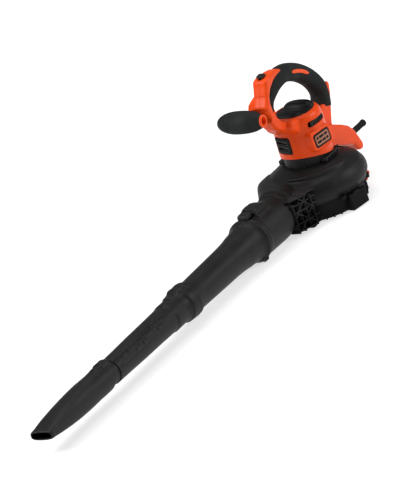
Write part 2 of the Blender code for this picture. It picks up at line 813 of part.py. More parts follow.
def make_housing():
    shell = housing_solid()
    radius = BARREL_RADIUS - BARREL_WALL
    bore = turned(
        "bore",
        [
            (0, BARREL_TOP_Z + 2),
            (CAP_RADIUS + 0.4, BARREL_TOP_Z + 2),
            (CAP_RADIUS + 0.4, BARREL_TOP_Z - 6),
            (radius, BARREL_TOP_Z - 17),
            (radius, 90),
            (0, 90),
        ],
        HOUSING_STEPS,
    )
    slope = math.atan(BARREL_BOTTOM_SLOPE)
    under = box("under", (-57, -80, -60), (120, 80, 0))
    under.data.transform(Matrix.Translation((0, 0, BARREL_BOTTOM_Z * MM)) @ Matrix.Rotation(-slope, 4, "Y"))
    case_room = case_body("case_room", 0.8, 100.8, 20.0)
    channel = pipe("channel", handle_line()[4:-3], CHANNEL_RADIUS, 2)
    stem_room = plate("stem_room", grown(STEM_OUTLINE, -3.6), HANDLE_HALF_WIDTH - 3)
    stem_room = cut(stem_room, box("front", (96, -30, 150), (140, 30, 270)))
    saddle = rod(
        "saddle",
        (SIDE_HANDLE_X, SIDE_HANDLE_LOW_Y - 10, SIDE_HANDLE_Z),
        (SIDE_HANDLE_X, HANDLE_HALF_WIDTH + 10, SIDE_HANDLE_Z),
        SADDLE_RADIUS,
        32,
    )
    tail_room = plate("tail_room", grown(TAIL_OUTLINE, -3.5), 30)
    slider_slot = box("slider_slot", (55, -4.2, 300), (80, 4.2, 320))
    gland_hole = rod("gland_hole", (-100, GLAND_Y, GLAND_Z), (-160, GLAND_Y, GLAND_Z), 6.7, 16)
    shell = cut(shell, saddle, bore, under, case_room, channel, stem_room, tail_room)
    shell = cut(shell, slider_slot, gland_hole)
    shell = cut(shell, front_vent_body("vent_hole", 0.4), *side_vent_bodies("slot_hole", 0.4))
    for side in (1, -1):
        x = BADGE_X[side]
        low_y, high_y = sorted((side * 52.4, side * 60))
        shell = cut(shell, box("badge_pocket", (x - 27.4, low_y, 134.6), (x + 27.4, high_y, 156.4)))
    other = copy_of(shell, "housing_right")
    left = cut(shell, box("right_side", (-300, -200, 0), (300, GAP / 2, 400)))
    right = cut(other, box("left_side", (-300, -GAP / 2, 0), (300, 200, 400)))
    left.name = "housing_left"
    right.name = "housing_right"
    finish(left, ORANGE)
    finish(right, ORANGE)


def front_vent_body(name, clearance):
    """A block through the barrel's wall, facing 18 degrees to the right of straight ahead."""
    half_y, half_z = 22 + clearance, 17 + clearance
    vent = box(name, (40, -half_y, -half_z), (54.2 + clearance, half_y, half_z))
    turn = Matrix.Rotation(math.radians(-18), 4, "Z")
    vent.data.transform(Matrix.Translation((0, 0, 152 * MM)) @ turn)
    return vent


def side_vent_bodies(name, clearance):
    bodies = []
    for side in (1, -1):
        low, high = sorted((side * 30, side * 51.5))
        bodies.append(
            box(
                name,
                (-17 - clearance, low - clearance, 180.4 - clearance),
                (29 + clearance, high + clearance, 187.4 + clearance),
            )
        )
    return bodies


def make_front_vent():
    vent = keep(
        front_vent_body("front_vent", 0),
        turned(
            "shell",
            [(53.6, 180), (53.6, 120), (48.8, 120), (48.8, 180)],
            HOUSING_STEPS,
            ring=True,
        ),
    )
    for z in (146, 158):
        slot = box("slot", (30, -16, -2.2), (70, 16, 2.2))
        slot.data.transform(Matrix.Translation((0, 0, z * MM)) @ Matrix.Rotation(math.radians(-18), 4, "Z"))
        vent = cut(vent, slot)
    vent.name = "front_vent"
    finish(vent, BLACK)


def make_side_vents():
    for name, body in zip(("side_vent_left", "side_vent_right"), side_vent_bodies("side_vent", 0)):
        ring = turned("shell", [(52.9, 195), (52.9, 170), (46.0, 170), (46.0, 195)], HOUSING_STEPS, ring=True)
        vent = keep(body, ring)
        vent.name = name
        finish(vent, BLACK)


def make_top_cap():
    cap = turned(
        "top_cap",
        [
            (0, 212.5),
            (20, 212),
            (33, 210),
            (CAP_RADIUS, 206),
            (CAP_RADIUS, 200.5),
            (CAP_RADIUS - 3, 200.5),
            (CAP_RADIUS - 3, 204.5),
            (20, 208.5),
            (0, 209),
        ],
        HOUSING_STEPS,
    )
    for x in (-22, -4, 14):
        cap = cut(cap, box("louvre", (x, -24, 203), (x + 5, 24, 216)))
    ridge = plate("ridge", [(2, 207), (6, 216), (12, 213), (14, 207)], 33)
    cap = join(cap, ridge)
    cap.name = "top_cap"
    finish(cap, BLACK)


def make_badges():
    for side, name in ((1, "badge_left"), (-1, "badge_right")):
        x = BADGE_X[side]
        low_y, high_y = sorted((side * 52.7, side * 54.6))
        badge = bevelled(box(name, (x - 27, low_y, 135), (x + 27, high_y, 156)), 0.6)
        badge.name = name
        finish(badge, BADGE)


def make_housing_screws():
    """Screws through the right half of the housing into bosses of the left half."""
    places = ((78, HANDLE_HALF_WIDTH, 296), (-78, 15.5, 150), (-108, 34, 98), (-64, 34, 98))
    for i, (x, half_width, z) in enumerate(places):
        seat = -half_width - GAP
        screw = rod(f"housing_screw_{i + 1}", (x, seat - 2.2, z), (x, seat, z), 3.6, 8)
        finish(screw, STEEL)


# ---------------------------------------------------------------- handle


def make_grip():
    line = smooth_line([(x, 0, z) for x, z in GRIP_PATH[1:-1]])
    sleeve = pipe("grip", line, GRIP_RADIUS, 6)
    outer = plate("stem_room", grown(STEM_OUTLINE, GAP), HANDLE_HALF_WIDTH + 4)
    finger = plate("finger_room", grown(FINGER_OUTLINE, GAP), 9.5 + GAP)
    post = plate("post_room", grown(POST_OUTLINE, GAP), HANDLE_HALF_WIDTH + 4)
    behind = box("behind", (-140, -30, 150), (-106, 30, 202))
    core = pipe("core_room", handle_line(), CORE_RADIUS + GAP)
    sleeve = cut(sleeve, outer, finger, post, core, behind)
    pocket = inlay_body("inlay_room", GAP)
    sleeve = cut(sleeve, pocket)
    sleeve.name = "grip_sleeve"
    finish(sleeve, RUBBER)
    inlay = cut(inlay_body("grip_inlay", 0), pipe("core_room", handle_line(), CORE_RADIUS + GAP))
    inlay.name = "grip_inlay"
    finish(inlay, ORANGE)


def inlay_body(name, clearance):
    """A strip let into the left side of the grip, along its upper part."""
    start, end = Vector((-12, 0, 282)), Vector((-62, 0, 253.5))
    middle = (start + end) / 2
    along = (end - start).normalized()
    turn = math.atan2(-along.z, along.x)
    half = (end - start).length / 2 + clearance
    strip = box(name, (-half, 10, -5.5 - clearance), (half, 18 + clearance, 5.5 + clearance))
    strip.data.transform(Matrix.Translation(middle * MM) @ Matrix.Rotation(turn, 4, "Y"))
    return strip


def make_speed_slider():
    x, y, z = SWITCH_SLIDE
    slider = bevelled(box("speed_slider", (x - 8, -6.5, z - 1.6), (x + 8, 6.5, z + 6)), 1.5)
    stem = box("stem", (x - 3, -3.4, z - 14), (x + 3, 3.4, z))
    slider = join(slider, stem)
    slider.name = "speed_slider"
    finish(slider, BLACK, origin=SWITCH_SLIDE)
    switch = bevelled(box("power_switch", (77, -10, 271), (87, 10, 287)), 1.0)
    switch.name = "power_switch"
    finish(switch, BLACK)


def side_handle_profile(steps=10):
    """Half of a fat spindle: (radius, distance along the handle)."""
    length = SIDE_HANDLE_HIGH_Y - SIDE_HANDLE_LOW_Y
    line = []
    for i in range(steps + 1):
        t = i / steps
        swell = math.sin(math.pi * (0.06 + 0.72 * t) / 0.9) ** 0.62 if t > 0 else 0.0
        line.append((max(0.0, SIDE_HANDLE_RADIUS * swell), length * t))
    return line


def make_side_handle():
    """Spindle across the front of the stem, with an end cap, on a bracket screwed to the housing."""
    line = side_handle_profile()
    profile = [(0, line[-1][1]), *[(r, d) for r, d in reversed(line)]]
    body = turned("side_grip", profile, 24)
    body.data.transform(
        Matrix.Translation(Vector((SIDE_HANDLE_X, SIDE_HANDLE_LOW_Y, SIDE_HANDLE_Z)) * MM)
        @ Matrix.Rotation(-math.pi / 2, 4, "X")
    )
    core_room = rod(
        "core_room",
        (SIDE_HANDLE_X, SIDE_HANDLE_HIGH_Y + 2, SIDE_HANDLE_Z),
        (SIDE_HANDLE_X, SIDE_HANDLE_HIGH_Y - 70, SIDE_HANDLE_Z),
        11.3,
        20,
    )
    foot_room = box("foot_room", (95, -22.4, 232.6), (SIDE_HANDLE_X, 0.4, 251.4))
    body = cut(body, core_room, foot_room)
    body.name = "side_grip"
    finish(body, RUBBER)
    core = rod(
        "side_core",
        (SIDE_HANDLE_X, SIDE_HANDLE_HIGH_Y + 1.5, SIDE_HANDLE_Z),
        (SIDE_HANDLE_X, SIDE_HANDLE_HIGH_Y - 69, SIDE_HANDLE_Z),
        11.0,
        20,
    )
    foot = box("foot", (SIDE_HANDLE_X - SADDLE_RADIUS + 2.3, -22, 233), (SIDE_HANDLE_X, 0, 251))
    dish = rod(
        "dish",
        (SIDE_HANDLE_X, SIDE_HANDLE_HIGH_Y - 3, SIDE_HANDLE_Z),
        (SIDE_HANDLE_X, SIDE_HANDLE_HIGH_Y + 4, SIDE_HANDLE_Z),
        7.0,
        20,
    )
    core = cut(join(core, foot), dish)
    core.name = "side_handle_core"
    finish(core, ORANGE)


# ---------------------------------------------------------------- motor


def make_motor_base():
    """Black ring below the barrel, with the lower bearing's hub and an air box on each side."""
    slope = BARREL_BOTTOM_SLOPE
    ring = turned(
        "motor_base",
        [
            (BASE_TOP_RADIUS, 126),
            (BASE_TOP_RADIUS, 104),
            (BASE_TOP_RADIUS - 1, 100.6),
            (44.5, 100.6),
            (44.5, 126),
        ],
        HOUSING_STEPS,
        ring=True,
    )
    above = box("above", (-120, -80, 0), (120, 80, 60))
    above.data.transform(
        Matrix.Translation((0, 0, (BARREL_BOTTOM_Z - GAP) * MM)) @ Matrix.Rotation(-math.atan(slope), 4, "Y")
    )
    ring = cut(ring, above)
    hub = turned(
        "hub",
        [
            (BEARING_RADIUS + 4, LOWER_BEARING_Z + BEARING_HEIGHT),
            (BEARING_RADIUS + 4, LOWER_BEARING_Z - 2.5),
            (SHAFT_RADIUS + 2, LOWER_BEARING_Z - 2.5),
            (SHAFT_RADIUS + 2, LOWER_BEARING_Z - GAP),
            (BEARING_RADIUS + GAP, LOWER_BEARING_Z - GAP),
            (BEARING_RADIUS + GAP, LOWER_BEARING_Z + BEARING_HEIGHT),
        ],
        MOTOR_STEPS,
        ring=True,
    )
    ring = join(ring, hub)
    for i in range(4):
        angle = math.radians(45 + 90 * i)
        ring = join(ring, oriented_box("arm", (15, -4, 100.8), (46, 4, 104.5), angle))
    for side in (1, -1):
        low, high = sorted((side * 45, side * 57))
        air_box = bevelled(box("air_box", (-27, low, 101.2), (24, high, 108.0)), 1.2)
        slot = box("slot", (-22, side * 57 - 4, 103.4), (19, side * 57 + 4, 105.8))
        ring = join(ring, cut(air_box, slot))
    ring.name = "motor_base"
    finish(ring, BLACK)


def make_bearings():
    for name, low in (("lower_bearing", LOWER_BEARING_Z), ("upper_bearing", UPPER_BEARING_Z)):
        high = low + BEARING_HEIGHT - 0.5
        ring = turned(
            name,
            [
                (BEARING_RADIUS, high),
                (BEARING_RADIUS, low),
                (SHAFT_RADIUS + 0.5, low),
                (SHAFT_RADIUS + 0.5, high),
            ],
            MOTOR_STEPS,
            ring=True,
        )
        finish(ring, STEEL)


def make_bearing_bridge():
    """Bar across the barrel that holds the upper bearing."""
    low, high = UPPER_BEARING_Z - 2.5, UPPER_BEARING_Z + BEARING_HEIGHT
    hub = turned(
        "bearing_bridge",
        [
            (BEARING_RADIUS + 4, high),
            (BEARING_RADIUS + 4, low),
            (SHAFT_RADIUS + 2, low),
            (SHAFT_RADIUS + 2, UPPER_BEARING_Z - GAP),
            (BEARING_RADIUS + GAP, UPPER_BEARING_Z - GAP),
            (BEARING_RADIUS + GAP, high),
        ],
        MOTOR_STEPS,
        ring=True,
    )
    for side in (1, -1):
        low_x, high_x = sorted((side * 15, side * 44))
        hub = join(hub, box("bar", (low_x, -5, low), (high_x, 5, low + 5)))
    hub.name = "bearing_bridge"
    finish(hub, BLACK)


def make_stator():
    stator = turned(
        "field_core",
        [
            (FIELD_RADIUS, STACK_HIGH_Z),
            (FIELD_RADIUS, STACK_LOW_Z),
            (STATOR_BORE, STACK_LOW_Z),
            (STATOR_BORE, STACK_HIGH_Z),
        ],
        MOTOR_STEPS,
        ring=True,
    )
    for i in range(4):
        angle = math.radians(45 + 90 * i)
        stator = cut(stator, oriented_box("slot", (34.6, -3.4, 120), (41.4, 3.4, 180), angle))
    stator.name = "field_core"
    finish(stator, IRON)


def make_field_coils():
    low = turned("coils", [(44, 129.4), (44, 122), (32, 122), (32, 129.4)], MOTOR_STEPS, ring=True)
    high = turned("high", [(44, 176), (44, 168.6), (32, 168.6), (32, 176)], MOTOR_STEPS, ring=True)
    for i in range(4):
        angle = math.radians(45 + 90 * i)
        low = join(low, oriented_box("wire", (35, -3, 125), (41, 3, 172), angle))
    low = join(low, high)
    low.name = "field_coils"
    finish(low, COPPER)


def make_rotor():
    shaft = rod("motor_shaft", (0, 0, 36.5), (0, 0, 200), SHAFT_RADIUS, MOTOR_STEPS)
    finish(shaft, STEEL, origin=(0, 0, 0))
    bore = SHAFT_RADIUS + GAP
    armature = turned(
        "armature",
        [
            (18, STACK_HIGH_Z + 6),
            (25, STACK_HIGH_Z + 1),
            (ARMATURE_RADIUS, STACK_HIGH_Z),
            (ARMATURE_RADIUS, STACK_LOW_Z),
            (25, STACK_LOW_Z - 1),
            (18, STACK_LOW_Z - 6),
            (bore, STACK_LOW_Z - 6),
            (bore, STACK_HIGH_Z + 6),
        ],
        MOTOR_STEPS,
        ring=True,
    )
    finish(armature, COPPER, origin=(0, 0, 0))
    commutator = turned(
        "commutator",
        [(COMMUTATOR_RADIUS, 186), (COMMUTATOR_RADIUS, 175.5), (bore, 175.5), (bore, 186)],
        MOTOR_STEPS,
        ring=True,
    )
    finish(commutator, COPPER, origin=(0, 0, 0))
    fan = turned("cooling_fan", [(40, 118), (40, 116), (bore, 116), (bore, 118)], MOTOR_STEPS, ring=True)
    hub = turned("hub", [(12, 120), (12, 113.2), (bore, 113.2), (bore, 120)], MOTOR_STEPS, ring=True)
    fan = join(fan, hub)
    for i in range(8):
        fan = join(fan, oriented_box("blade", (14, -1, 113.4), (38, 1, 117), math.radians(45 * i)))
    fan.name = "cooling_fan"
    finish(fan, BLACK, origin=(0, 0, 0))
    make_impeller(bore)
    nut = rod("impeller_nut", (0, 0, 37.5), (0, 0, 44.4), 10, 6)
    nut = cut(nut, rod("thread", (0, 0, 30), (0, 0, 50), bore, MOTOR_STEPS))
    nut.name = "impeller_nut"
    finish(nut, STEEL, origin=(0, 0, 0))


def make_impeller(bore):
    """Back plate with nine swept blades, which draws air up through the eye."""
    top = IMPELLER_PLATE_Z
    wheel = turned(
        "impeller",
        [
            (20, top + 12),
            (24, top + 3),
            (IMPELLER_RADIUS, top + 2.4),
            (IMPELLER_RADIUS, top),
            (22, top),
            (15, IMPELLER_LOW_Z),
            (bore, IMPELLER_LOW_Z),
            (bore, top + 12),
        ],
        CASE_STEPS,
        ring=True,
    )
    for i in range(IMPELLER_BLADES):
        turn = 2 * math.pi * i / IMPELLER_BLADES
        blade = oriented_box("blade", (18, -1.2, IMPELLER_LOW_Z + 2), (IMPELLER_RADIUS - 1, 1.2, top + 1), 0)
        for vertex in blade.data.vertices:
            sweep = -0.35 * (vertex.co.x / (IMPELLER_RADIUS * MM)) ** 2
            vertex.co = Matrix.Rotation(turn + sweep, 3, "Z") @ vertex.co
        wheel = join(wheel, blade)
    wheel.name = "impeller"
    finish(wheel, BLACK, origin=(0, 0, 0))


def make_brushes():
    for side, tag in ((1, "left"), (-1, "right")):
        near, far = COMMUTATOR_RADIUS + 0.5, 36.0
        low, high = sorted((side * 17.0, side * far))
        holder = box("holder", (-6, low, BRUSH_Z - 3.7), (6, high, BRUSH_Z + 5))
        low, high = sorted((side * 10.0, side * (far - 2)))
        holder = cut(holder, box("hole", (-3.8, low, BRUSH_Z - 2.9), (3.8, high, BRUSH_Z + 2.9)))
        holder.name = f"brush_holder_{tag}"
        finish(holder, BLACK)
        low, high = sorted((side * near, side * 27.0))
        brush = box("brush", (-3.5, low, BRUSH_Z - 2.6), (3.5, high, BRUSH_Z + 2.6))
        brush.name = f"brush_{tag}"
        finish(brush, CARBON)


# ---------------------------------------------------------------- cable entry and safety switch


def make_cable_entry():
    gland = turned(
        "cable_gland",
        [
            (4.6, GLAND_END_X * -1),
            (7.0, GLAND_END_X * -1 - 1.5),
            (7.0, GLAND_END_X * -1 - 5),
            (5.6, GLAND_END_X * -1 - 7),
            (6.2, 134),
            (6.2, 112),
            (3.0, 112),
            (3.0, GLAND_END_X * -1),
        ][::-1],
        16,
        ring=True,
        along_x=True,
    )
    gland.data.transform(
        Matrix.Translation((0, GLAND_Y * MM, GLAND_Z * MM)) @ Matrix.Scale(-1, 4, (1, 0, 0))
    )
    gland.name = "cable_gland"
    finish(gland, RUBBER)
    block = bevelled(box("terminal_block", (-104, 4, 96), (-84, 26, 108)), 1.0)
    block.name = "terminal_block"
    finish(block, BLACK)


def make_interlock():
    """Switch under the case's flange that the closed cover's lug holds in."""
    angle = COVER_HINGE_ANGLE + math.radians(28)
    switch = oriented_box("interlock_switch", (77, -9, 22), (86, 9, 33.6), angle)
    switch.name = "interlock_switch"
    finish(switch, BLACK)


def main():
    make_fan_case()
    make_case_screws()
    make_inlet_cover()
    make_cover_hinge()
    make_cover_latch()
    make_interlock()
    make_outlet_collar()
    make_release_button()
    make_upper_tube()
    make_lower_tube()
    make_nozzle()
    make_housing()
    make_front_vent()
    make_side_vents()
    make_top_cap()
    make_badges()
    make_housing_screws()
    make_grip()
    make_speed_slider()
    make_side_handle()
    make_motor_base()
    make_bearings()
    make_bearing_bridge()
    make_stator()
    make_field_coils()
    make_rotor()
    make_brushes()
    make_cable_entry()


clear_scene()
PARTS = make_collection("leaf_blower")
main()
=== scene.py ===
"""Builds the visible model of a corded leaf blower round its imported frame, with its finishes and studio."""

import json
import math

import bmesh
import bpy
from bpy.props import FloatProperty, FloatVectorProperty, PointerProperty
from bpy.types import Operator, Panel, PropertyGroup
from mathutils import Matrix, Vector


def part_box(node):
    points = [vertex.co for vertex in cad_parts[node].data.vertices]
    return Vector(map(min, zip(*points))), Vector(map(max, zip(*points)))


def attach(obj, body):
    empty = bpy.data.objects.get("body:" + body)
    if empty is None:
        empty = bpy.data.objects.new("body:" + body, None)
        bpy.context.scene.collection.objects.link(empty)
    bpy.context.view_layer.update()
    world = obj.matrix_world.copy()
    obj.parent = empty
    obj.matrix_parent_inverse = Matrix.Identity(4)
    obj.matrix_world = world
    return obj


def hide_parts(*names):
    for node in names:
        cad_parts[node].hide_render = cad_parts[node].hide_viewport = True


bl_info = {
    "name": "Leaf Blower",
    "version": (1, 0, 0),
    "blender": (4, 5, 0),
    "location": "3D View > Sidebar > Leaf Blower",
    "description": "Builds a corded leaf blower, piece by piece",
    "category": "Add Mesh",
}

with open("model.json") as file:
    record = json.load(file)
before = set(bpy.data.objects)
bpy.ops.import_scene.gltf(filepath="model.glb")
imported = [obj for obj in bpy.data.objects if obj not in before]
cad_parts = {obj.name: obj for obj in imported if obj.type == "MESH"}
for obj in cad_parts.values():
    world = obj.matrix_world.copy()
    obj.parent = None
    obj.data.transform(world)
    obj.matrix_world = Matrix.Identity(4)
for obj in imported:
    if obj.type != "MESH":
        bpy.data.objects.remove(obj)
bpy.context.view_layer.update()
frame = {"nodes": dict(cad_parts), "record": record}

# Places are in millimetres, and angles about the motor's axis are in degrees.
MM = 0.001
TUBE_Y = -14.0
TUBE_Z = 45.0
SEAM_Z = 38.0
COLLAR_START = 154.0
COLLAR_END = 250.0
UPPER_END = 505.0
LOWER_END = 822.0
NOZZLE_END = 1094.0
HINGE_ANGLE = 79.0
HINGE_RADIUS = 98.0
HINGE_Z = 28.0
LATCH_ANGLE = 140.0
VENT_Z = 152.0
VENT_LEAN = -18.0
SIDE_SLOT_Z = 184.0
SIDE_HANDLE_X = 124.0
SIDE_HANDLE_Z = 242.0
GLAND_Y = 20.0
GLAND_Z = 89.0


# ---------------------------------------------------------------- properties


def length(name, description, default):
    return FloatProperty(
        name=name, description=description, default=default, unit="LENGTH", subtype="DISTANCE"
    )


def colour(name, description, default):
    return FloatVectorProperty(
        name=name, description=description, default=default, subtype="COLOR", size=3, min=0, max=1
    )


class BlowerSizes(PropertyGroup):
    grip_thickness: length("Grip thickness", "Thickness of the handle's rubber in its own plane", 0.037)
    grip_width: length("Grip width", "Thickness of the handle's rubber across the machine", 0.034)
    parting_gap: length("Parting gap", "Gap between the two halves of the housing", 0.0005)
    case_gap: length("Case gap", "Gap between the two halves of the fan case", 0.0006)
    housing_grain: length("Housing grain", "Edge of the cells that the housing's skin is made from", 0.0016)
    case_grain: length("Case grain", "Edge of the cells that the fan case's skin is made from", 0.0019)
    rib_thickness: length("Rib thickness", "Thickness of the fan case's stiffening ribs", 0.0022)


class BlowerColours(PropertyGroup):
    housing: colour("Housing", "Orange of the moulded housing", (0.76, 0.062, 0.0045))
    housing_shade: colour("Housing, worn", "Orange where the housing is rubbed or dusty", (0.84, 0.10, 0.02))
    case: colour("Case", "Black of the moulded case and tubes", (0.0058, 0.0058, 0.0060))
    case_dust: colour("Case, dusty", "Black where fine dust lies in the grain", (0.015, 0.015, 0.0155))
    rubber: colour("Rubber", "Black of the soft grips", (0.0095, 0.0110, 0.0105))
    badge: colour("Badge", "Dark border of the badge", (0.0045, 0.0035, 0.0032))
    badge_inset: colour("Badge inset", "Tan panel inside the badge's border", (0.36, 0.115, 0.050))
    metal: colour("Metal", "Zinc-plated screws and pins", (0.26, 0.26, 0.27))
    copper: colour("Copper", "Varnished copper wire", (0.46, 0.17, 0.06))


def sizes():
    return bpy.context.scene.blower_sizes


def colours():
    return bpy.context.scene.blower_colours


# ---------------------------------------------------------------- finishes


class Value:
    """A shader socket that takes part in arithmetic. Each operation adds a Math node."""

    def __init__(self, finish, socket):
        self.finish = finish
        self.socket = socket

    def _math(self, operation, *values):
        return self.finish.make("ShaderNodeMath", {"operation": operation}, *values)

    def __add__(self, other):
        return self._math("ADD", self, other)

    def __sub__(self, other):
        return self._math("SUBTRACT", self, other)

    def __rsub__(self, other):
        return self._math("SUBTRACT", other, self)

    def __mul__(self, other):
        return self._math("MULTIPLY", self, other)

    __radd__ = __add__
    __rmul__ = __mul__

    def over(self, low, high):
        """0 below low, 1 above high, and a straight line between."""
        settings = {"clamp": True}
        return self.finish.make("ShaderNodeMapRange", settings, self, low, high, 0.0, 1.0)


class Finish:
    """One material under construction."""

    def __init__(self, name, base, roughness, metallic=0.0, coat=0.0, specular=0.5):
        self.material = bpy.data.materials.new(name)
        self.material.use_nodes = True
        self.tree = self.material.node_tree
        self.shader = self.tree.nodes["Principled BSDF"]
        self.shader.inputs["Base Color"].default_value = (*base, 1.0)
        self.shader.inputs["Roughness"].default_value = roughness
        self.shader.inputs["Metallic"].default_value = metallic
        self.shader.inputs["Coat Weight"].default_value = coat
        self.shader.inputs["Specular IOR Level"].default_value = specular
        self.material.diffuse_color = (*base, 1.0)

    def make(self, kind, settings, *values, out=0, at=None, **named):
        """Add a node, set it up, fill its sockets in order and by name, and give back an output."""
        node = self.tree.nodes.new(kind)
        for key, value in settings.items():
            setattr(node, key, value)
        filled = [(node.inputs[index], value) for index, value in zip(at or range(len(values)), values)]
        filled += [(node.inputs[key.replace("_", " ")], value) for key, value in named.items()]
        for socket, value in filled:
            if isinstance(value, Value):
                self.tree.links.new(value.socket, socket)
            else:
                socket.default_value = (*value, 1.0) if socket.type == "RGBA" else value
        return Value(self, node.outputs[out])

    def place(self, stretch=(1, 1, 1)):
        """The point on the piece, in metres, stretched along each axis."""
        point = self.make("ShaderNodeTexCoord", {}, out="Object")
        return self.make("ShaderNodeVectorMath", {"operation": "MULTIPLY"}, point, stretch)

    def noise(self, scale, detail=3.0, stretch=(1, 1, 1), roughness=0.5):
        return self.make(
            "ShaderNodeTexNoise",
            {},
            Vector=self.place(stretch),
            Scale=scale,
            Detail=detail,
            Roughness=roughness,
        )

    def cells(self, scale):
        return self.make("ShaderNodeTexVoronoi", {}, out="Distance", Vector=self.place(), Scale=scale)

    def blend(self, factor, first, second):
        """Mix two colours."""
        settings = {"data_type": "RGBA"}
        return self.make("ShaderNodeMix", settings, factor, first, second, out=2, at=(0, 6, 7))

    def put(self, **values):
        for key, value in values.items():
            self.tree.links.new(value.socket, self.shader.inputs[key.replace("_", " ")])

    def relief(self, height, depth, strength=1.0):
        """Bump the surface by a height from 0 to 1, depth metres deep."""
        self.put(Normal=self.make("ShaderNodeBump", {}, Strength=strength, Distance=depth, Height=height))

    def edges(self, sharpness):
        """1 on convex edges, 0 on flat parts."""
        pointed = self.make("ShaderNodeNewGeometry", {}, out="Pointiness")
        return pointed.over(0.5 + sharpness, 0.56 + sharpness)


def tinted(base, amount):
    return tuple(min(1.0, channel * amount) for channel in base)


def housing_plastic():
    """Satin orange plastic: a faint mould grain, slow mottling, and hairline scuffs."""
    orange = colours().housing
    made = Finish("housing_plastic", orange, 0.34, specular=0.16)
    mottle = made.noise(45, 3)
    rubbed_patch = made.noise(24, 2).over(0.5, 0.7)
    scuff = made.noise(900, 2, stretch=(0.12, 1.0, 0.35)).over(0.63, 0.72) * rubbed_patch
    grain = made.noise(2600, 2)
    base = made.blend(mottle.over(0.3, 0.75), tinted(orange, 0.95), tinted(orange, 1.06))
    rubbed = made.edges(0.02) * 0.35 + scuff * 0.25
    made.put(Base_Color=made.blend(rubbed, base, colours().housing_shade))
    made.put(Roughness=mottle * 0.10 + grain * 0.08 + scuff * 0.16 + 0.27)
    made.relief(grain * 0.6 + made.noise(420, 2) * 0.4, 0.00010, 0.55)
    return made.material


def case_plastic():
    """Spark-textured black nylon with fine dust in its grain and soft handling marks."""
    base = colours().case
    made = Finish("case_plastic", base, 0.5, specular=0.17)
    grain = made.noise(1500, 3, roughness=0.62)
    pits = made.cells(1200)
    handled = made.noise(18, 4, roughness=0.6)
    streak = made.noise(260, 3, stretch=(0.06, 1.0, 1.0)).over(0.60, 0.72) * handled.over(0.48, 0.65)
    dust = handled.over(0.45, 0.80) * 0.45 + grain.over(0.55, 0.75) * 0.25
    dusty = made.blend(dust, base, colours().case_dust)
    rubbed = made.edges(0.015) * 0.40 + streak * 0.22
    made.put(Base_Color=made.blend(rubbed, dusty, tinted(colours().case_dust, 1.8)))
    made.put(Roughness=handled * 0.16 + pits * 0.10 + 0.36 - streak * 0.08)
    made.relief(grain * 0.65 + pits * 0.35, 0.00022, 0.65)
    return made.material


def painted_shade_plastic():
    """The same nylon, duller, with its black darkened as painted shade, for the guard and the lower half of
    the case.
    """
    # Base colour darker than the case's black: painted shade.
    made = Finish("painted_shade_plastic", tinted(colours().case, 0.45), 0.62, specular=0.10)
    grain = made.noise(1500, 3, roughness=0.62)
    handled = made.noise(18, 4, roughness=0.6)
    dust = handled.over(0.45, 0.80) * 0.35 + made.edges(0.015) * 0.35
    # Dust over a black darkened further still, which is painted shade.
    made.put(Base_Color=made.blend(dust, tinted(colours().case, 0.40), tinted(colours().case_dust, 0.8)))
    made.put(Roughness=handled * 0.14 + grain * 0.08 + 0.50)
    made.relief(grain, 0.00022, 0.65)
    return made.material


def soft_rubber():
    """Matte overmould with a leather-like pebble and a bloom where hands rub it."""
    made = Finish("soft_rubber", colours().rubber, 0.7, specular=0.15)
    pebble = made.cells(900)
    grain = made.noise(2200, 2)
    worn = made.noise(22, 3).over(0.42, 0.68)
    base = made.blend(worn, colours().rubber, tinted(colours().rubber, 1.5))
    made.put(Base_Color=made.blend(made.edges(0.02) * 0.4, base, tinted(colours().rubber, 2.2)))
    made.put(Roughness=0.72 - worn * 0.18 + grain * 0.12)
    made.relief(pebble * 0.7 + grain * 0.3, 0.00022, 0.5)
    return made.material


def plated_steel():
    """Zinc-plated steel with drawn lines, dull patches and specks of white oxide."""
    made = Finish("plated_steel", colours().metal, 0.3, metallic=1.0)
    lines = made.noise(1400, 2, stretch=(1, 1, 0.05))
    cloud = made.noise(130, 3)
    oxide = made.noise(700, 3).over(0.66, 0.74)
    base = made.blend(cloud.over(0.35, 0.7), tinted(colours().metal, 0.8), tinted(colours().metal, 1.15))
    made.put(Base_Color=made.blend(oxide * 0.5, base, (0.62, 0.62, 0.60)))
    made.put(Roughness=cloud * 0.18 + lines * 0.12 + oxide * 0.2 + 0.16)
    made.put(Metallic=1.0 - oxide * 0.5)
    made.relief(lines, 0.00004, 0.4)
    return made.material


def wound_copper():
    """Rows of varnished wire."""
    made = Finish("wound_copper", colours().copper, 0.3, metallic=1.0, coat=0.4)
    rows = made.make(
        "ShaderNodeTexWave",
        {"wave_type": "RINGS", "rings_direction": "Z"},
        Vector=made.place(),
        Scale=320.0,
        Distortion=1.2,
        Detail_Scale=60.0,
    )
    patch = made.noise(160, 3)
    base = made.blend(patch.over(0.3, 0.7), tinted(colours().copper, 0.6), tinted(colours().copper, 1.2))
    made.put(Base_Color=made.blend(rows * 0.6, base, tinted(colours().copper, 0.45)))
    made.put(Roughness=patch * 0.2 + 0.2)
    made.relief(rows, 0.0003, 0.7)
    return made.material


def stacked_iron():
    """Edges of stacked steel sheets, oiled, with rust freckles."""
    made = Finish("stacked_iron", (0.22, 0.22, 0.23), 0.45, metallic=1.0)
    sheets = made.make(
        "ShaderNodeTexWave",
        {"wave_type": "BANDS", "bands_direction": "Z"},
        Vector=made.place(),
        Scale=310.0,
        Distortion=0.3,
    )
    rust = made.noise(420, 4).over(0.62, 0.72)
    base = made.blend(sheets, (0.14, 0.14, 0.15), (0.30, 0.30, 0.31))
    made.put(Base_Color=made.blend(rust * 0.6, base, (0.22, 0.08, 0.03)))
    made.put(Roughness=sheets * 0.15 + rust * 0.3 + 0.3)
    made.put(Metallic=1.0 - rust * 0.6)
    made.relief(sheets, 0.00015, 0.6)
    return made.material


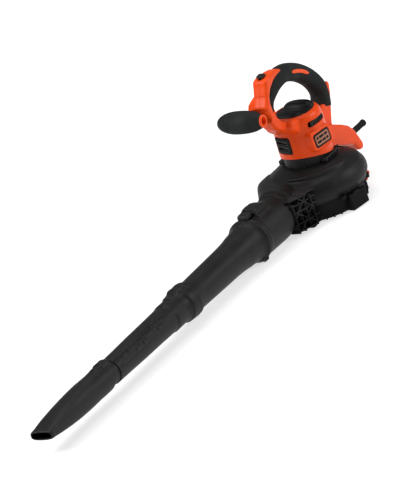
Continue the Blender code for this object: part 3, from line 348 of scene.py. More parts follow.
def pressed_carbon():
    made = Finish("pressed_carbon", (0.03, 0.03, 0.034), 0.5)
    speck = made.noise(3000, 3)
    made.put(Base_Color=made.blend(speck.over(0.5, 0.7), (0.022, 0.022, 0.025), (0.09, 0.09, 0.095)))
    made.put(Roughness=speck * 0.3 + 0.32)
    made.relief(speck, 0.00008, 0.5)
    return made.material


def badge_plate():
    """Dark satin plate with a brushed look, slightly worn to brown at its edges."""
    made = Finish("badge_plate", colours().badge, 0.42, specular=0.15)
    brushed = made.noise(900, 2, stretch=(0.05, 1, 1))
    wear = made.noise(90, 3).over(0.45, 0.7)
    base = made.blend(brushed, tinted(colours().badge, 0.75), tinted(colours().badge, 1.5))
    made.put(Base_Color=made.blend(wear * 0.4, base, tinted(colours().badge, 2.2)))
    made.put(Roughness=brushed * 0.16 + wear * 0.1 + 0.26)
    made.relief(brushed, 0.00005, 0.4)
    return made.material


def badge_panel():
    """Printed tan panel with a fine brushed grain."""
    made = Finish("badge_panel", colours().badge_inset, 0.4, coat=0.15)
    brushed = made.noise(1100, 2, stretch=(0.05, 1, 1))
    fade = made.noise(70, 3)
    tan = colours().badge_inset
    made.put(Base_Color=made.blend(fade, tinted(tan, 0.8), tinted(tan, 1.2)))
    made.put(Roughness=brushed * 0.2 + 0.3)
    made.relief(brushed, 0.00004, 0.4)
    return made.material


def studio_floor():
    """A white table lit from beneath, which keeps shadows faint."""
    made = Finish("studio_floor", (0.45, 0.45, 0.45), 0.85, specular=0.1)
    made.put(Base_Color=made.blend(made.noise(3, 2), (0.44, 0.44, 0.44), (0.46, 0.46, 0.46)))
    made.shader.inputs["Emission Color"].default_value = (1.0, 1.0, 1.0, 1.0)
    made.shader.inputs["Emission Strength"].default_value = 0.66
    return made.material


FINISHES = {
    "orange_nylon": housing_plastic,
    "black_nylon": case_plastic,
    "grip_rubber": soft_rubber,
    "steel": plated_steel,
    "copper": wound_copper,
    "iron": stacked_iron,
    "carbon": pressed_carbon,
    "badge_face": badge_plate,
}


def made_once(finish):
    """A finish's material, which keeps the name of the function that makes it."""
    return bpy.data.materials.get(finish.__name__) or finish()


def finish_of(slot):
    """The material for one of the record's slots."""
    return made_once(FINISHES[slot])


# ---------------------------------------------------------------- shapes


def shape(name, bm, clean=True):
    if clean:
        bmesh.ops.remove_doubles(bm, verts=bm.verts, dist=1e-7)
        bmesh.ops.recalc_face_normals(bm, faces=bm.faces)
    mesh = bpy.data.meshes.new(name)
    bm.to_mesh(mesh)
    bm.free()
    obj = bpy.data.objects.new(name, mesh)
    bpy.context.scene.collection.objects.link(obj)
    return obj


def clamped(value):
    return min(1.0, max(0.0, value))


def drop(obj):
    mesh = obj.data
    bpy.data.objects.remove(obj, do_unlink=True)
    bpy.data.meshes.remove(mesh)


def settle(obj):
    """Apply an object's modifiers."""
    bpy.context.view_layer.update()
    graph = bpy.context.evaluated_depsgraph_get()
    mesh = bpy.data.meshes.new_from_object(obj.evaluated_get(graph))
    name, old = obj.name, obj.data
    obj.modifiers.clear()
    obj.data = mesh
    bpy.data.meshes.remove(old)
    mesh.name = name
    return obj


def modify(obj, kind, **settings):
    modifier = obj.modifiers.new(kind.title(), kind)
    for key, value in settings.items():
        setattr(modifier, key, value)
    return settle(obj)


def rounded(obj, width, segments=3, angle=35):
    return modify(
        obj,
        "BEVEL",
        width=width * MM,
        segments=segments,
        limit_method="ANGLE",
        angle_limit=math.radians(angle),
        harden_normals=False,
    )


def circle(axis, centre, radius, steps):
    """The points of a circle about the X, Y or Z direction."""
    first, second = {"X": (1, 2), "Y": (0, 2), "Z": (0, 1)}[axis]
    points = []
    for i in range(steps):
        angle = 2 * math.pi * i / steps
        point = list(centre)
        point[first] += radius * math.cos(angle)
        point[second] += radius * math.sin(angle)
        points.append(point)
    return points


def turned_ring(name, profile, steps):
    """A ring about the motor's axis through (radius, z) points down its outside and up its inside."""
    return rings(name, [circle("Z", (0, 0, z), radius, steps) for radius, z in profile], loop=True)


def rings(name, rows, loop=False):
    """A closed skin through rows of points, capped at both ends or looping back to the first row."""
    bm = bmesh.new()
    made = [[bm.verts.new(Vector(point) * MM) for point in row] for row in rows]
    pairs = list(zip(made, made[1:])) + ([(made[-1], made[0])] if loop else [])
    for first, second in pairs:
        for i in range(len(first)):
            j = (i + 1) % len(first)
            bm.faces.new((first[i], first[j], second[j], second[i]))
    if not loop:
        bm.faces.new(made[0])
        bm.faces.new(made[-1])
    return shape(name, bm)


def block(name, low, high, round_by=0.0, segments=3):
    bm = bmesh.new()
    bmesh.ops.create_cube(bm, size=1.0)
    centre = [(a + b) / 2 * MM for a, b in zip(low, high)]
    size = [abs(b - a) * MM for a, b in zip(low, high)]
    bm.transform(Matrix.Translation(centre) @ Matrix.Diagonal((*size, 1.0)))
    obj = shape(name, bm)
    return rounded(obj, round_by, segments) if round_by else obj


def bar(name, start, end, radius, end_radius=None, sides=48):
    first, last = Vector(start) * MM, Vector(end) * MM
    bm = bmesh.new()
    bmesh.ops.create_cone(
        bm,
        cap_ends=True,
        segments=sides,
        radius1=radius * MM,
        radius2=(radius if end_radius is None else end_radius) * MM,
        depth=(last - first).length,
    )
    turn = (last - first).to_track_quat("Z", "X").to_matrix().to_4x4()
    bm.transform(Matrix.Translation((first + last) / 2) @ turn)
    return shape(name, bm)


def moved(obj, matrix):
    obj.data.transform(matrix)
    return obj


def turned(obj, degrees, axis="Z", about=(0, 0, 0)):
    centre = Vector(about) * MM
    turn = Matrix.Rotation(math.radians(degrees), 4, axis)
    return moved(obj, Matrix.Translation(centre) @ turn @ Matrix.Translation(-centre))


def spline(a, b, c, d, t):
    """A value between b and c on a smooth curve through a, b, c and d."""
    bend = (a * 2 - b * 5 + c * 4 - d) * t**2
    twist = (b * 3 - a - c * 3 + d) * t**3
    return (b * 2 + (c - a) * t + bend + twist) / 2


def flowing(points, spans=4):
    """A smooth line through the points."""
    points = [Vector(p) for p in points]
    ends = [points[0] * 2 - points[1], *points, points[-1] * 2 - points[-2]]
    line = []
    for a, b, c, d in zip(ends, ends[1:], ends[2:], ends[3:]):
        line += [spline(a, b, c, d, step / spans) for step in range(spans)]
    line.append(points[-1])
    return line


def slab(name, outline, low_y, high_y, round_by=0.0, segments=3):
    """An outline in X and Z, extruded along Y, with rounded edges."""
    obj = rings(name, [[(x, y, z) for x, z in outline] for y in (low_y, high_y)])
    return rounded(obj, round_by, segments) if round_by else obj


def lathe(name, profile, steps=96, swell=None):
    """Turn (radius, z) points about the motor's axis. swell gives a factor on the radius."""
    rows = []
    for radius, z in profile:
        row = []
        for i in range(steps):
            angle = 2 * math.pi * i / steps
            r = radius * (swell(angle, z) if swell else 1.0)
            row.append((r * math.cos(angle), r * math.sin(angle), z))
        rows.append(row)
    return rings(name, rows)


def tube(name, stations, wall, steps=96, relief=None, bore=None):
    """A hollow tube along X from (x, radius) stations. relief raises its outside by x and angle."""
    rows = []
    for x, radius in stations:
        row = []
        for i in range(steps):
            angle = 2 * math.pi * i / steps
            r = radius + (relief(x, angle) if relief else 0.0)
            row.append((x, TUBE_Y + r * math.cos(angle), TUBE_Z + r * math.sin(angle)))
        rows.append(row)
    for x, radius in reversed(bore or [(x, r - wall) for x, r in stations]):
        rows.append(circle("X", (x, TUBE_Y, TUBE_Z), radius, steps))
    return rings(name, rows, loop=True)


def dense(stations, step):
    """The same line of (x, radius) stations with points no further apart than step."""
    line = []
    for (x0, r0), (x1, r1) in zip(stations, stations[1:]):
        count = max(1, math.ceil(abs(x1 - x0) / step))
        for i in range(count):
            t = i / count
            line.append((x0 + (x1 - x0) * t, r0 + (r1 - r0) * t))
    line.append(stations[-1])
    return line


def gathered(name, pieces):
    """Several skins as one object, without joining their surfaces."""
    bm = bmesh.new()
    for piece in pieces:
        bm.from_mesh(piece.data)
        drop(piece)
    return shape(name, bm, clean=False)


def moulded(name, pieces, cell, softness):
    """Melt overlapping solids into one skin whose inner corners are filleted."""
    obj = gathered(name, pieces)
    modifier = obj.modifiers.new("Remesh", "REMESH")
    modifier.mode = "VOXEL"
    modifier.voxel_size = cell
    smooth = obj.modifiers.new("Smooth", "SMOOTH")
    smooth.factor = 0.5
    smooth.iterations = softness
    return settle(obj)


def cut(obj, *tools):
    for tool in tools:
        modifier = obj.modifiers.new("Cut", "BOOLEAN")
        modifier.operation = "DIFFERENCE"
        modifier.solver = "EXACT"
        modifier.object = tool
        settle(obj)
        drop(tool)
    return obj


def copied(obj, name):
    made = bpy.data.objects.new(name, obj.data.copy())
    bpy.context.scene.collection.objects.link(made)
    return made


def sliced(obj, point, normal):
    """Keep the part of a solid behind a plane, and close the cut."""
    bm = bmesh.new()
    bm.from_mesh(obj.data)
    found = bmesh.ops.bisect_plane(
        bm,
        geom=[*bm.verts, *bm.edges, *bm.faces],
        dist=1e-7,
        plane_co=Vector(point) * MM,
        plane_no=normal,
        clear_outer=True,
    )
    rim = [item for item in found["geom_cut"] if isinstance(item, bmesh.types.BMEdge)]
    bmesh.ops.triangle_fill(bm, edges=rim, use_beauty=True, normal=normal)
    bmesh.ops.recalc_face_normals(bm, faces=bm.faces)
    bm.to_mesh(obj.data)
    bm.free()
    return obj


def dress(obj, name, slot, body="body", replaces=(), smooth_below=32.0, finish=None):
    """Name a finished piece, shade it, give it its finish and let it ride on its body."""
    obj.name = name
    obj.data.name = name
    obj.data.materials.clear()
    obj.data.materials.append(finish or finish_of(slot))
    obj.data.shade_smooth()
    obj.data.set_sharp_from_angle(angle=math.radians(smooth_below))
    if replaces:
        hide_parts(*replaces)
    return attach(obj, body)


def radial_block(name, low, high, degrees, round_by=0.0):
    """A block given in a frame turned about Z, whose first axis points outwards."""
    return turned(block(name, low, high, round_by), degrees)


# ---------------------------------------------------------------- fan case

# The case's section as (radius, height), from the top of its hub round to its floor.
CASE_PROFILE = (
    (0, 100.5),
    (50, 100.5),
    (58, 99.5),
    (66, 96.8),
    (76, 92.2),
    (86, 86.6),
    (96, 81.5),
    (100, 79.0),
    (106, 72.0),
    (110.5, 65.0),
    (112, 58.0),
    (111.5, 51.0),
    (108.5, 45.0),
    (104.5, 40.5),
    (103.5, 34.0),
    (0, 34.0),
)
HUB_RADIUS = 50.0
CASE_RADIUS = 112.0
SUNKEN_SIDE = 300.0
CASE_REACH = 100.0
SCROLL_START = 60.0
SCROLL_TURN = 250.0
SCROLL_GROWTH = 20.5
# Cross-sections of the outlet duct: X, Y, half its width, bottom, top and squareness.
DUCT_STATIONS = (
    (10, -62, 46, 39.5, 80, 3.4),
    (48, -48, 57, 39.5, 83, 3.2),
    (78, -36, 53, 38.5, 85.5, 2.8),
    (104, -25, 48, 24, 87.5, 2.4),
    (128, -17, 44.5, 4.0, 88.5, 2.1),
    (COLLAR_START + 2, TUBE_Y, 43.5, TUBE_Z - 43.5, TUBE_Z + 43.5, 2.0),
)


def case_reach(angle):
    """The case's radius: its wall swings outwards in the way the air turns, then comes back."""
    along = (math.degrees(angle) - SCROLL_START) % 360
    if along < SCROLL_TURN:
        return CASE_REACH + SCROLL_GROWTH * along / SCROLL_TURN
    return CASE_REACH + SCROLL_GROWTH - SCROLL_GROWTH * (along - SCROLL_TURN) / (360 - SCROLL_TURN)


def case_solid(name, shrink=0.0):
    """The round part of the case. Its shoulder sinks towards the outlet's far side."""
    rows = []
    for radius, z in CASE_PROFILE:
        row = []
        for i in range(120):
            angle = 2 * math.pi * i / 120
            rim = clamped((radius - HUB_RADIUS) / (CASE_RADIUS - HUB_RADIUS))
            r = max(0.5, radius * (1 + (case_reach(angle) / CASE_RADIUS - 1) * rim) - shrink)
            away = (math.degrees(angle) - SUNKEN_SIDE + 180) % 360 - 180
            sunk = 12.0 * rim * math.exp(-((away / 62) ** 2)) * clamped((z - 40) / 25)
            height = z - sunk + (-shrink if z > 60 else shrink)
            row.append((r * math.cos(angle), r * math.sin(angle), height))
        rows.append(row)
    return rings(name, rows)


def superellipse(x, y, z, half_y, half_z, power, count=64):
    row = []
    for i in range(count):
        angle = 2 * math.pi * i / count
        c, s = math.cos(angle), math.sin(angle)
        row.append(
            (
                x,
                y + half_y * math.copysign(abs(c) ** (2 / power), c),
                z + half_z * math.copysign(abs(s) ** (2 / power), s),
            )
        )
    return row


def duct_solid(name, shrink=0.0):
    rows = []
    for station in blended(DUCT_STATIONS, 5):
        x, y, half_y, low, high, power = station
        rows.append(superellipse(x, y, (low + high) / 2, half_y - shrink, (high - low) / 2 - shrink, power))
    return rings(name, rows)


def blended(stations, spans):
    """Smoothly filled-in rows of numbers."""
    rows = []
    count = len(stations)
    for i in range(count - 1):
        a, b = stations[max(0, i - 1)], stations[i]
        c, d = stations[i + 1], stations[min(count - 1, i + 2)]
        for step in range(spans):
            rows.append([spline(*values, step / spans) for values in zip(a, b, c, d)])
    rows.append(list(stations[-1]))
    return rows


def lattice_ribs():
    """Crossing ribs that stiffen the corner between the round case and its outlet."""
    half = sizes().rib_thickness / MM / 2
    start, end = 92, 150
    braces = (
        ((104, 12), (146, 50)),
        ((104, 44), (136, 78)),
        ((146, 10), (104, 54)),
        ((end, 40), (114, 78)),
    )
    ribs = []
    for z in (10, 26, 50, 64, 76):
        outline = [(start, 14), (start, 52), (106, 51 - z / 14), (122, 46)]
        outline += [(end, 34 - abs(z - 44) / 6), (end, 14)]
        ribs.append(rings("shelf", [[(x, y, z + lift) for x, y in outline] for lift in (-half, half)]))
    for x, reach in ((106, 51), (120, 45), (134, 39), (147, 33)):
        top = 74 - (x - start) * 0.1
        ribs.append(block("upright", (x - half, 10, 6), (x + half, reach, top), 0.5, 2))
    for (x0, z0), (x1, z1) in braces:
        span = Vector((x1 - x0, z1 - z0))
        brace = block("brace", (0, 18, -half), (span.length, 34, half), 0.4, 2)
        brace = turned(brace, -math.degrees(math.atan2(span.y, span.x)), "Y")
        for vertex in brace.data.vertices:
            if vertex.co.y > 25 * MM:
                vertex.co.y += (22 - 0.36 * (vertex.co.x / MM + x0 - start)) * MM
        ribs.append(moved(brace, Matrix.Translation((x0 * MM, 0, z0 * MM))))
    return ribs


def swoosh():
    """A low ridge that sweeps round the motor on top of the case."""
    rows = []
    for i in range(41):
        t = i / 40
        angle = math.radians(-8 + 128 * t)
        radius = 80 - 7 * t
        z = 91.0 - 4.0 * t + 2.5 * math.sin(math.pi * t)
        size = 4.2 * math.sin(math.pi * min(1.0, 0.12 + t * 0.8)) ** 0.6
        row = []
        for k in range(12):
            turn = 2 * math.pi * k / 12
            r = radius + size * 1.1 * math.cos(turn)
            row.append((r * math.cos(angle), r * math.sin(angle), z + size * math.sin(turn)))
        rows.append(row)
    return rings("swoosh", rows)


class OBJECT_OT_blower_fan_case(Operator):
    """Build the two halves of the fan case with the outlet duct and its ribs"""

    bl_idname = "object.blower_fan_case"
    bl_label = "Fan case"

    def execute(self, context):
        cell = sizes().case_grain
        hoops = []
        for x, *size in ((120, -19, 49, 48.6, 42.2), (141, -15, 46, 46.0, 45.2)):
            hoops.append(rings("hoop", [superellipse(edge, *size, 2.3) for edge in (x - 1.3, x + 1.3)]))
        skin = moulded("case", [case_solid("body"), duct_solid("duct"), swoosh(), *hoops], cell, 6)
        details = moulded("details", [block("foot", (98, 14, 1), (114, 44, 34), 3)], cell, 4)
        hollow = moulded("hollow", [case_solid("inside", 3.2), duct_solid("passage", 3.0)], cell * 1.6, 3)
        mouth = bar("mouth", (140, TUBE_Y, TUBE_Z), (190, TUBE_Y, TUBE_Z), 40.5)
        eye = bar("eye", (0, 0, 10), (0, 0, 52), 60, sides=96)
        motor_hole = bar("motor_hole", (0, 0, 90), (0, 0, 120), 44, sides=96)
        skin = cut(skin, hollow, mouth, eye, motor_hole)
        gap = sizes().case_gap / MM / 2
        lower = copied(skin, "lower")
        upper = sliced(skin, (0, 0, SEAM_Z + gap), (0, 0, -1))
        lower = sliced(lower, (0, 0, SEAM_Z - gap), (0, 0, 1))
        ribs = gathered("ribs", lattice_ribs())
        upper_ribs = sliced(copied(ribs, "upper_ribs"), (0, 0, SEAM_Z + gap), (0, 0, -1))
        lower_ribs = sliced(ribs, (0, 0, SEAM_Z - gap), (0, 0, 1))
        upper = gathered("volute_upper_skin", [upper, upper_ribs])
        lower = gathered("volute_lower_skin", [lower, lower_ribs, details, *self.screw_collars()])
        dress(upper, "fan_case_upper", "black_nylon", replaces=["volute_upper"])
        # The lower half takes the darkened nylon, whose colour is painted shade.
        painted_shade_finish = made_once(painted_shade_plastic)
        dress(lower, "fan_case_lower", "black_nylon", replaces=["volute_lower"], finish=painted_shade_finish)
        return {"FINISHED"}

    def screw_collars(self):
        """A tube of plastic round each screw that holds the two halves of the case."""
        collars = []
        for i in range(1, 7):
            low, high = (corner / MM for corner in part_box(f"case_screw_{i}"))
            middle = (low + high) / 2
            top = SEAM_Z - 0.6
            profile = ((7.6, top), (7.2, low.z - 0.4), (5.0, low.z - 0.8), (5.0, top))
            rows = [circle("Z", (middle.x, middle.y, z), radius, 32) for radius, z in profile]
            collars.append(rings("collar", rows, loop=True))
        return collars


class OBJECT_OT_blower_inlet_cover(Operator):
    """Build the hinged inlet guard below the fan case, and its orange latch"""

    bl_idname = "object.blower_inlet_cover"
    bl_label = "Inlet cover"

    def execute(self, context):
        wall = (
            (92.0, 33.0),
            (91.4, 12.0),
            (90.6, 5.0),
            (88.0, 1.2),
            (84.0, 0.2),
            (79.5, 0.2),
            (79.5, 3.2),
            (84.5, 5.0),
            (88.0, 10.0),
            (89.0, 33.0),
        )
        parts = [turned_ring("drum", wall, 144), bar("hub", (0, 0, 0.2), (0, 0, 6.5), 20.5, 18.5, 64)]
        for r in (31, 42, 53, 64, 74):
            profile = ((r + 1.2, 0.8), (r + 0.9, 6.2), (r - 0.9, 6.2), (r - 1.2, 0.8))
            parts.append(turned_ring("ring", profile, 96))
        for i in range(24):
            top = 6.8 if i % 2 else 8.0
            parts.append(radial_block("spoke", (18, -1.1, 0.6), (84, 1.1, top), 15 * i, 0.4))
        for i in range(36):
            degrees = 10 * i + 4
            if 55 < degrees < 105 or 295 < degrees:
                continue
            parts.append(radial_block("tooth", (85, -1.4, 0.4), (91.8, 1.4, 9.0), degrees, 0.5))
        parts.append(self.hinge_lug())
        for i in range(9):
            parts.append(radial_block("brace", (90.0, -0.9, 3), (93.6, 0.9, 30), 112 + 14.0 * i, 0.5))
        cover = gathered("cover", parts)
        # The guard takes the darkened nylon, whose colour is painted shade.
        dress(cover, "inlet_guard", "black_nylon", "cover", ["inlet_cover"], finish=made_once(painted_shade_plastic))
        self.latch()
        return {"FINISHED"}

    def hinge_lug(self):
        """A block that ends in a barrel round the hinge's pin, notched for the knuckle on the case."""
        base = block("base", (84, -24, 0.4), (103.6, 24, 27.0), 2.5)
        lug = moulded("lug", [base, self.along_hinge("barrel", 24, 5.6)], 0.0011, 3)
        lug = cut(lug, self.along_hinge("notch", 8.1, 5.25), self.along_hinge("bore", 30, 2.2))
        return turned(lug, HINGE_ANGLE)

    def along_hinge(self, name, half, radius):
        return bar(name, (HINGE_RADIUS, -half, HINGE_Z), (HINGE_RADIUS, half, HINGE_Z), radius)

    def latch(self):
        lever = radial_block("lever", (94.6, -7.0, 14.5), (99.4, 7.0, 30.4), LATCH_ANGLE, 1.6)
        thumb = radial_block("thumb", (96.5, -7.0, 24.5), (105.5, 7.0, 31.1), LATCH_ANGLE, 2.0)
        hook = radial_block("hook", (89.5, -6, 14.6), (97, 6, 17.6), LATCH_ANGLE, 0.8)
        parts = [moulded("lever", [lever, thumb, hook], 0.0007, 3)]
        for z in (25.8, 27.4, 29.0):
            parts.append(radial_block("ridge", (104.8, -5.5, z), (106.1, 5.5, z + 0.9), LATCH_ANGLE, 0.3))
        latch = gathered("latch", parts)
        dress(latch, "guard_latch", "orange_nylon", "latch", ["cover_latch"])


# ---------------------------------------------------------------- outlet and tubes


def plate_mask(x, angle, centre_x, centre_angle, length, half_angle):
    """1 inside a rounded patch of the tube's skin, falling to 0 over its border."""
    across = (angle - centre_angle + math.pi) % (2 * math.pi) - math.pi
    reach = max(abs(x - centre_x) / (length / 2), abs(across) / half_angle)
    return clamped((1.12 - reach) / 0.18)


class OBJECT_OT_blower_outlet(Operator):
    """Build the outlet collar with its hood, and the grooved release button"""

    bl_idname = "object.blower_outlet"
    bl_label = "Outlet collar"

    def execute(self, context):
        stations = [
            (COLLAR_START, 44.2),
            (COLLAR_START + 2, 45.0),
            (COLLAR_START + 20, 45.2),
            (205, 44.6),
            (238, 44.0),
            (240, 44.9),
            (246, 45.0),
            (249, 44.4),
            (COLLAR_END, 43.4),
        ]
        rows = [superellipse(x, TUBE_Y, TUBE_Z, r, r, 2.0, 96) for x, r in dense(stations, 3)]
        shell = rings("shell", rows)
        outline = [(166, 84), (174, 91), (184, 97), (196, 100.8), (214, 102), (226, 101.5)]
        outline += [(233, 98), (234, 78), (166, 78)]
        hood = slab("hood", outline, TUBE_Y - 17, TUBE_Y + 17, 6.0, 4)
        rail = slab("rail", [(180, 90), (232, 90), (232, 84), (180, 84)], TUBE_Y - 23, TUBE_Y + 23, 3.0)
        skin = moulded("collar", [shell, hood, rail], 0.0013, 5)
        bore = bar("bore", (140, TUBE_Y, TUBE_Z), (262, TUBE_Y, TUBE_Z), 41.9, sides=96)
        pocket = block("pocket", (206, TUBE_Y - 11.2, 90.2), (262, TUBE_Y + 11.2, 99.8), 0.6)
        seat = block("seat", (232.4, TUBE_Y - 11.4, 80), (262, TUBE_Y + 11.4, 110), 0.6)
        collar = cut(skin, bore, pocket, seat)
        dress(collar, "outlet_sleeve", "black_nylon", replaces=["outlet_collar"])
        self.button()
        return {"FINISHED"}

    def button(self):
        low, high = TUBE_Y - 10.4, TUBE_Y + 10.4
        outline = [(237, 90.4), (257, 90.4), (258.5, 96), (256, 101), (240, 101.5), (237, 99)]
        parts = [slab("thumb", outline, low, high, 1.8)]
        parts.append(block("slider", (216, low + 1, 91.4), (240, high - 1, 98.6), 0.8))
        for i in range(4):
            x = 240.6 + 3.6 * i
            parts.append(block("ridge", (x, low + 1.6, 99.5), (x + 1.8, high - 1.6, 102.3), 0.6))
        button = gathered("button", parts)
        dress(button, "tube_release", "black_nylon", "release", ["tube_release_button"])


class OBJECT_OT_blower_upper_tube(Operator):
    """Build the upper blow tube with its bell, waist and joint ring"""

    bl_idname = "object.blower_upper_tube"
    bl_label = "Upper tube"

    def execute(self, context):
        stations = [
            (COLLAR_END - 41.5, 40.6),
            (COLLAR_END + 0.6, 41.2),
            (COLLAR_END + 0.8, 45.6),
            (COLLAR_END + 2.5, 46.8),
            (COLLAR_END + 6.0, 46.6),
            (COLLAR_END + 8.0, 44.6),
            (263, 42.0),
            (270, 40.0),
            (284, 38.8),
            (300, 37.6),
            (318, 35.6),
            (345, 34.3),
            (400, 33.6),
            (455, 32.8),
            (490, 32.1),
            (498, 32.8),
            (UPPER_END - 1, 32.8),
            (UPPER_END, 32.4),
            (UPPER_END + 0.3, 31.2),
            (UPPER_END + 41.5, 30.5),
        ]

        def relief(x, angle):
            tab = 3.4 * plate_mask(x, angle, COLLAR_END + 7, math.radians(302), 15, 0.13)
            tab += 2.6 * plate_mask(x, angle, COLLAR_END + 9, math.radians(90), 18, 0.16)
            seam = 0.35 * math.exp(-(((angle - math.pi / 2) * 34) ** 2 / 1.2)) if 300 < x < 486 else 0.0
            return tab + seam

        skin = tube("skin", dense(stations, 2.4), 2.2, 128, relief)
        dress(skin, "upper_blow_tube", "black_nylon", "upper_tube", ["upper_tube"])
        return {"FINISHED"}


class OBJECT_OT_blower_lower_tube(Operator):
    """Build the lower blow tube with its clip, lengthwise crease and moulded pads"""

    bl_idname = "object.blower_lower_tube"
    bl_label = "Lower tube"

    def execute(self, context):
        stations = [
            (UPPER_END + 0.8, 34.8),
            (UPPER_END + 3, 36.2),
            (518, 36.6),
            (521, 35.6),
            (524, 36.1),
            (539, 35.2),
            (545, 32.4),
            (556, 30.4),
            (572, 30.6),
            (592, 30.8),
            (600, 29.0),
            (646, 28.4),
            (716, 28.0),
            (767, 27.1),
            (LOWER_END, 26.5),
            (LOWER_END + 0.3, 24.6),
            (LOWER_END + 41.5, 24.1),
        ]
        bore = [
            (UPPER_END + 0.8, 33.0),
            (UPPER_END + 34, 32.2),
            (UPPER_END + 44, 29.6),
            (598, 26.6),
            (780, 24.2),
            (LOWER_END - 10, 22.6),
            (LOWER_END + 41.5, 22.1),
        ]

        def relief(x, angle):
            crease = 1.0 * math.exp(-(((angle - math.radians(22)) * 11) ** 2)) if 560 < x < 812 else 0.0
            clip = 2.9 * plate_mask(x, angle, 547, math.radians(97), 34, 0.44)
            clip += 1.6 * plate_mask(x, angle, 516, math.radians(97), 18, 0.40)
            pads = 0.0
            rows = ((622, 58, 18), (650, 54, 26), (672, 60, 10), (712, 52, 14), (737, 50, 24))
            for centre, turn, span in rows:
                pads += plate_mask(x, angle, centre, math.radians(turn), span, 0.15)
                pads += plate_mask(x, angle, centre + 4, math.radians(turn - 24), span * 0.8, 0.11)
            for centre, turn, span in ((768, 50, 10), (786, 48, 18)):
                pads += plate_mask(x, angle, centre, math.radians(turn), span, 0.20)
            return crease + clip + 1.5 * min(1.0, pads)

        skin = tube("skin", dense(stations, 1.8), 2.2, 128, relief, bore)
        dress(skin, "lower_blow_tube", "black_nylon", "lower_tube", ["lower_tube"])
        return {"FINISHED"}


FLAT_START = 895.0
CREASE_START = 880.0


def nozzle_row(x, shrink):
    """The nozzle's cross-section: round at first, then wide and flat. Its rear edge is cut on a slant."""
    t = max(0.0, (x - FLAT_START) / (NOZZLE_END - FLAT_START))
    waist = 28.0 - 0.5 * clamped((x - 872) / 22)
    half_y = waist - 2.3 * t**2.1
    half_z = waist - 18.4 * t**2.1
    slant = 34 * max(0.0, 1 - (x - LOWER_END) / 70)
    row = superellipse(x, TUBE_Y, TUBE_Z, half_y - shrink, half_z - shrink, 2 + 1.3 * t, 96)
    return [(px + slant * (TUBE_Z + half_z - pz) / (2 * half_z), py, pz) for px, py, pz in row]


class OBJECT_OT_blower_nozzle(Operator):
    """Build the flat nozzle with its locking bump, crease and slanted mouth"""

    bl_idname = "object.blower_nozzle"
    bl_label = "Nozzle"

    def execute(self, context):
        start = LOWER_END + 0.8
        places = [start, start + 1.2, start + 2.5]
        places += [start + 6 + (NOZZLE_END - 3 - start - 6) * i / 90 for i in range(91)]
        places += [NOZZLE_END - 1.2, NOZZLE_END]
        outer = []
        lips = {start: 0.9, start + 1.2: 0.3, NOZZLE_END - 1.2: 0.3, NOZZLE_END: 0.9}
        for x in places:
            row = []
            for point in nozzle_row(x, lips.get(x, 0.0)):
                angle = math.atan2(point[2] - TUBE_Z, point[1] - TUBE_Y)
                outwards = Vector((0, math.cos(angle), math.sin(angle)))
                row.append(Vector(point) + outwards * self.relief(x, angle))
            outer.append(row)
        inner = [nozzle_row(x, 2.3) for x in reversed(places)]
        nozzle = rings("nozzle_skin", outer + inner, loop=True)
        dress(nozzle, "flat_nozzle", "black_nylon", "nozzle", ["nozzle"], smooth_below=50)
        return {"FINISHED"}

    def relief(self, x, angle):
        """How far the locking bump, the creases and the mouth's rim stand out from the nozzle."""
        lift = 2.0 * plate_mask(x, angle, LOWER_END + 18, math.radians(93), 26, 0.42)
        lift += 1.4 * plate_mask(x, angle, LOWER_END + 23, math.radians(93), 50, 0.34)
        lift -= 1.6 * plate_mask(x, angle, LOWER_END + 22, math.radians(60), 20, 0.07)
        along = max(0.0, (x - CREASE_START) / (NOZZLE_END - CREASE_START))
        corner = math.radians(66 - 46 * along**0.8)
        off = min(abs(angle - corner), abs(angle - math.pi + corner))
        fade = clamped((x - CREASE_START) / 40) * clamped((NOZZLE_END - 4 - x) / 40)
        lift += 1.1 * math.exp(-((off * 11) ** 2)) * fade
        rim = 0.7 if NOZZLE_END - 9 < x < NOZZLE_END - 1 else 0.0
        return lift + rim


# ---------------------------------------------------------------- motor housing

STEM = (
    (40, 178),
    (54, 186),
    (72, 193),
    (90, 205),
    (102, 222),
    (109, 240),
    (107, 262),
    (97, 277),
    (87, 299),
    (84, 309),
    (66, 312),
    (52, 307),
    (56, 296),
    (74, 286),
    (84, 275),
    (88, 262),
    (87, 247),
    (80, 229),
    (67, 213),
    (46, 203),
)
FINGER = ((15, 300), (20, 306), (34, 309.5), (50, 311.5), (66, 309), (72, 290), (48, 294), (28, 296))
POST = (
    (-98, 178),
    (-104, 204),
    (-118, 214),
    (-119.5, 206),
    (-114, 188),
    (-101, 160),
    (-90, 138),
    (-84, 120),
    (-36, 120),
    (-36, 160),
    (-52, 164),
    (-60, 172),
    (-78, 180),
)
BRACKET = (
    (2, ((74, 290), (98, 276), (107, 262), (108, 240), (100, 220), (86, 204), (66, 196), (62, 236))),
    (-16, ((78, 284), (98, 272), (107, 260), (108, 238), (99, 219), (86, 206), (70, 200), (66, 236))),
    (-32, ((86, 268), (98, 264), (104, 254), (105, 240), (98, 228), (90, 222), (82, 222), (80, 244))),
)
# Each side's badge: where it stands along X, and the degrees that it turns to follow the barrel.
BADGES = {1: (13.0, -11.0), -1: (-22.0, 6.0)}
TAIL = (
    (-34, 152),
    (-58, 144),
    (-78, 135),
    (-100, 124),
    (-118, 113),
    (-130, 99),
    (-138, 82),
    (-147, 62),
    (-140, 50),
    (-128, 55),
    (-114, 72),
    (-92, 82),
    (-60, 85),
    (-34, 84),
)


def barrel_solid(name):
    profile = [
        (0.5, 206),
        (38, 206),
        (43.5, 205),
        (47.5, 202),
        (50.4, 197),
        (51.8, 189),
        (52.3, 178),
        (52.3, 140),
        (51.6, 96),
        (0.5, 96),
    ]

    def swell(angle, z):
        sides = sum(math.exp(-(((angle - math.radians(turn)) * 2.2) ** 2)) for turn in (72, 288))
        return 1 + 0.045 * sides * clamped((175 - z) / 50)

    return lathe(name, dense_profile(profile, 6), 96, swell)


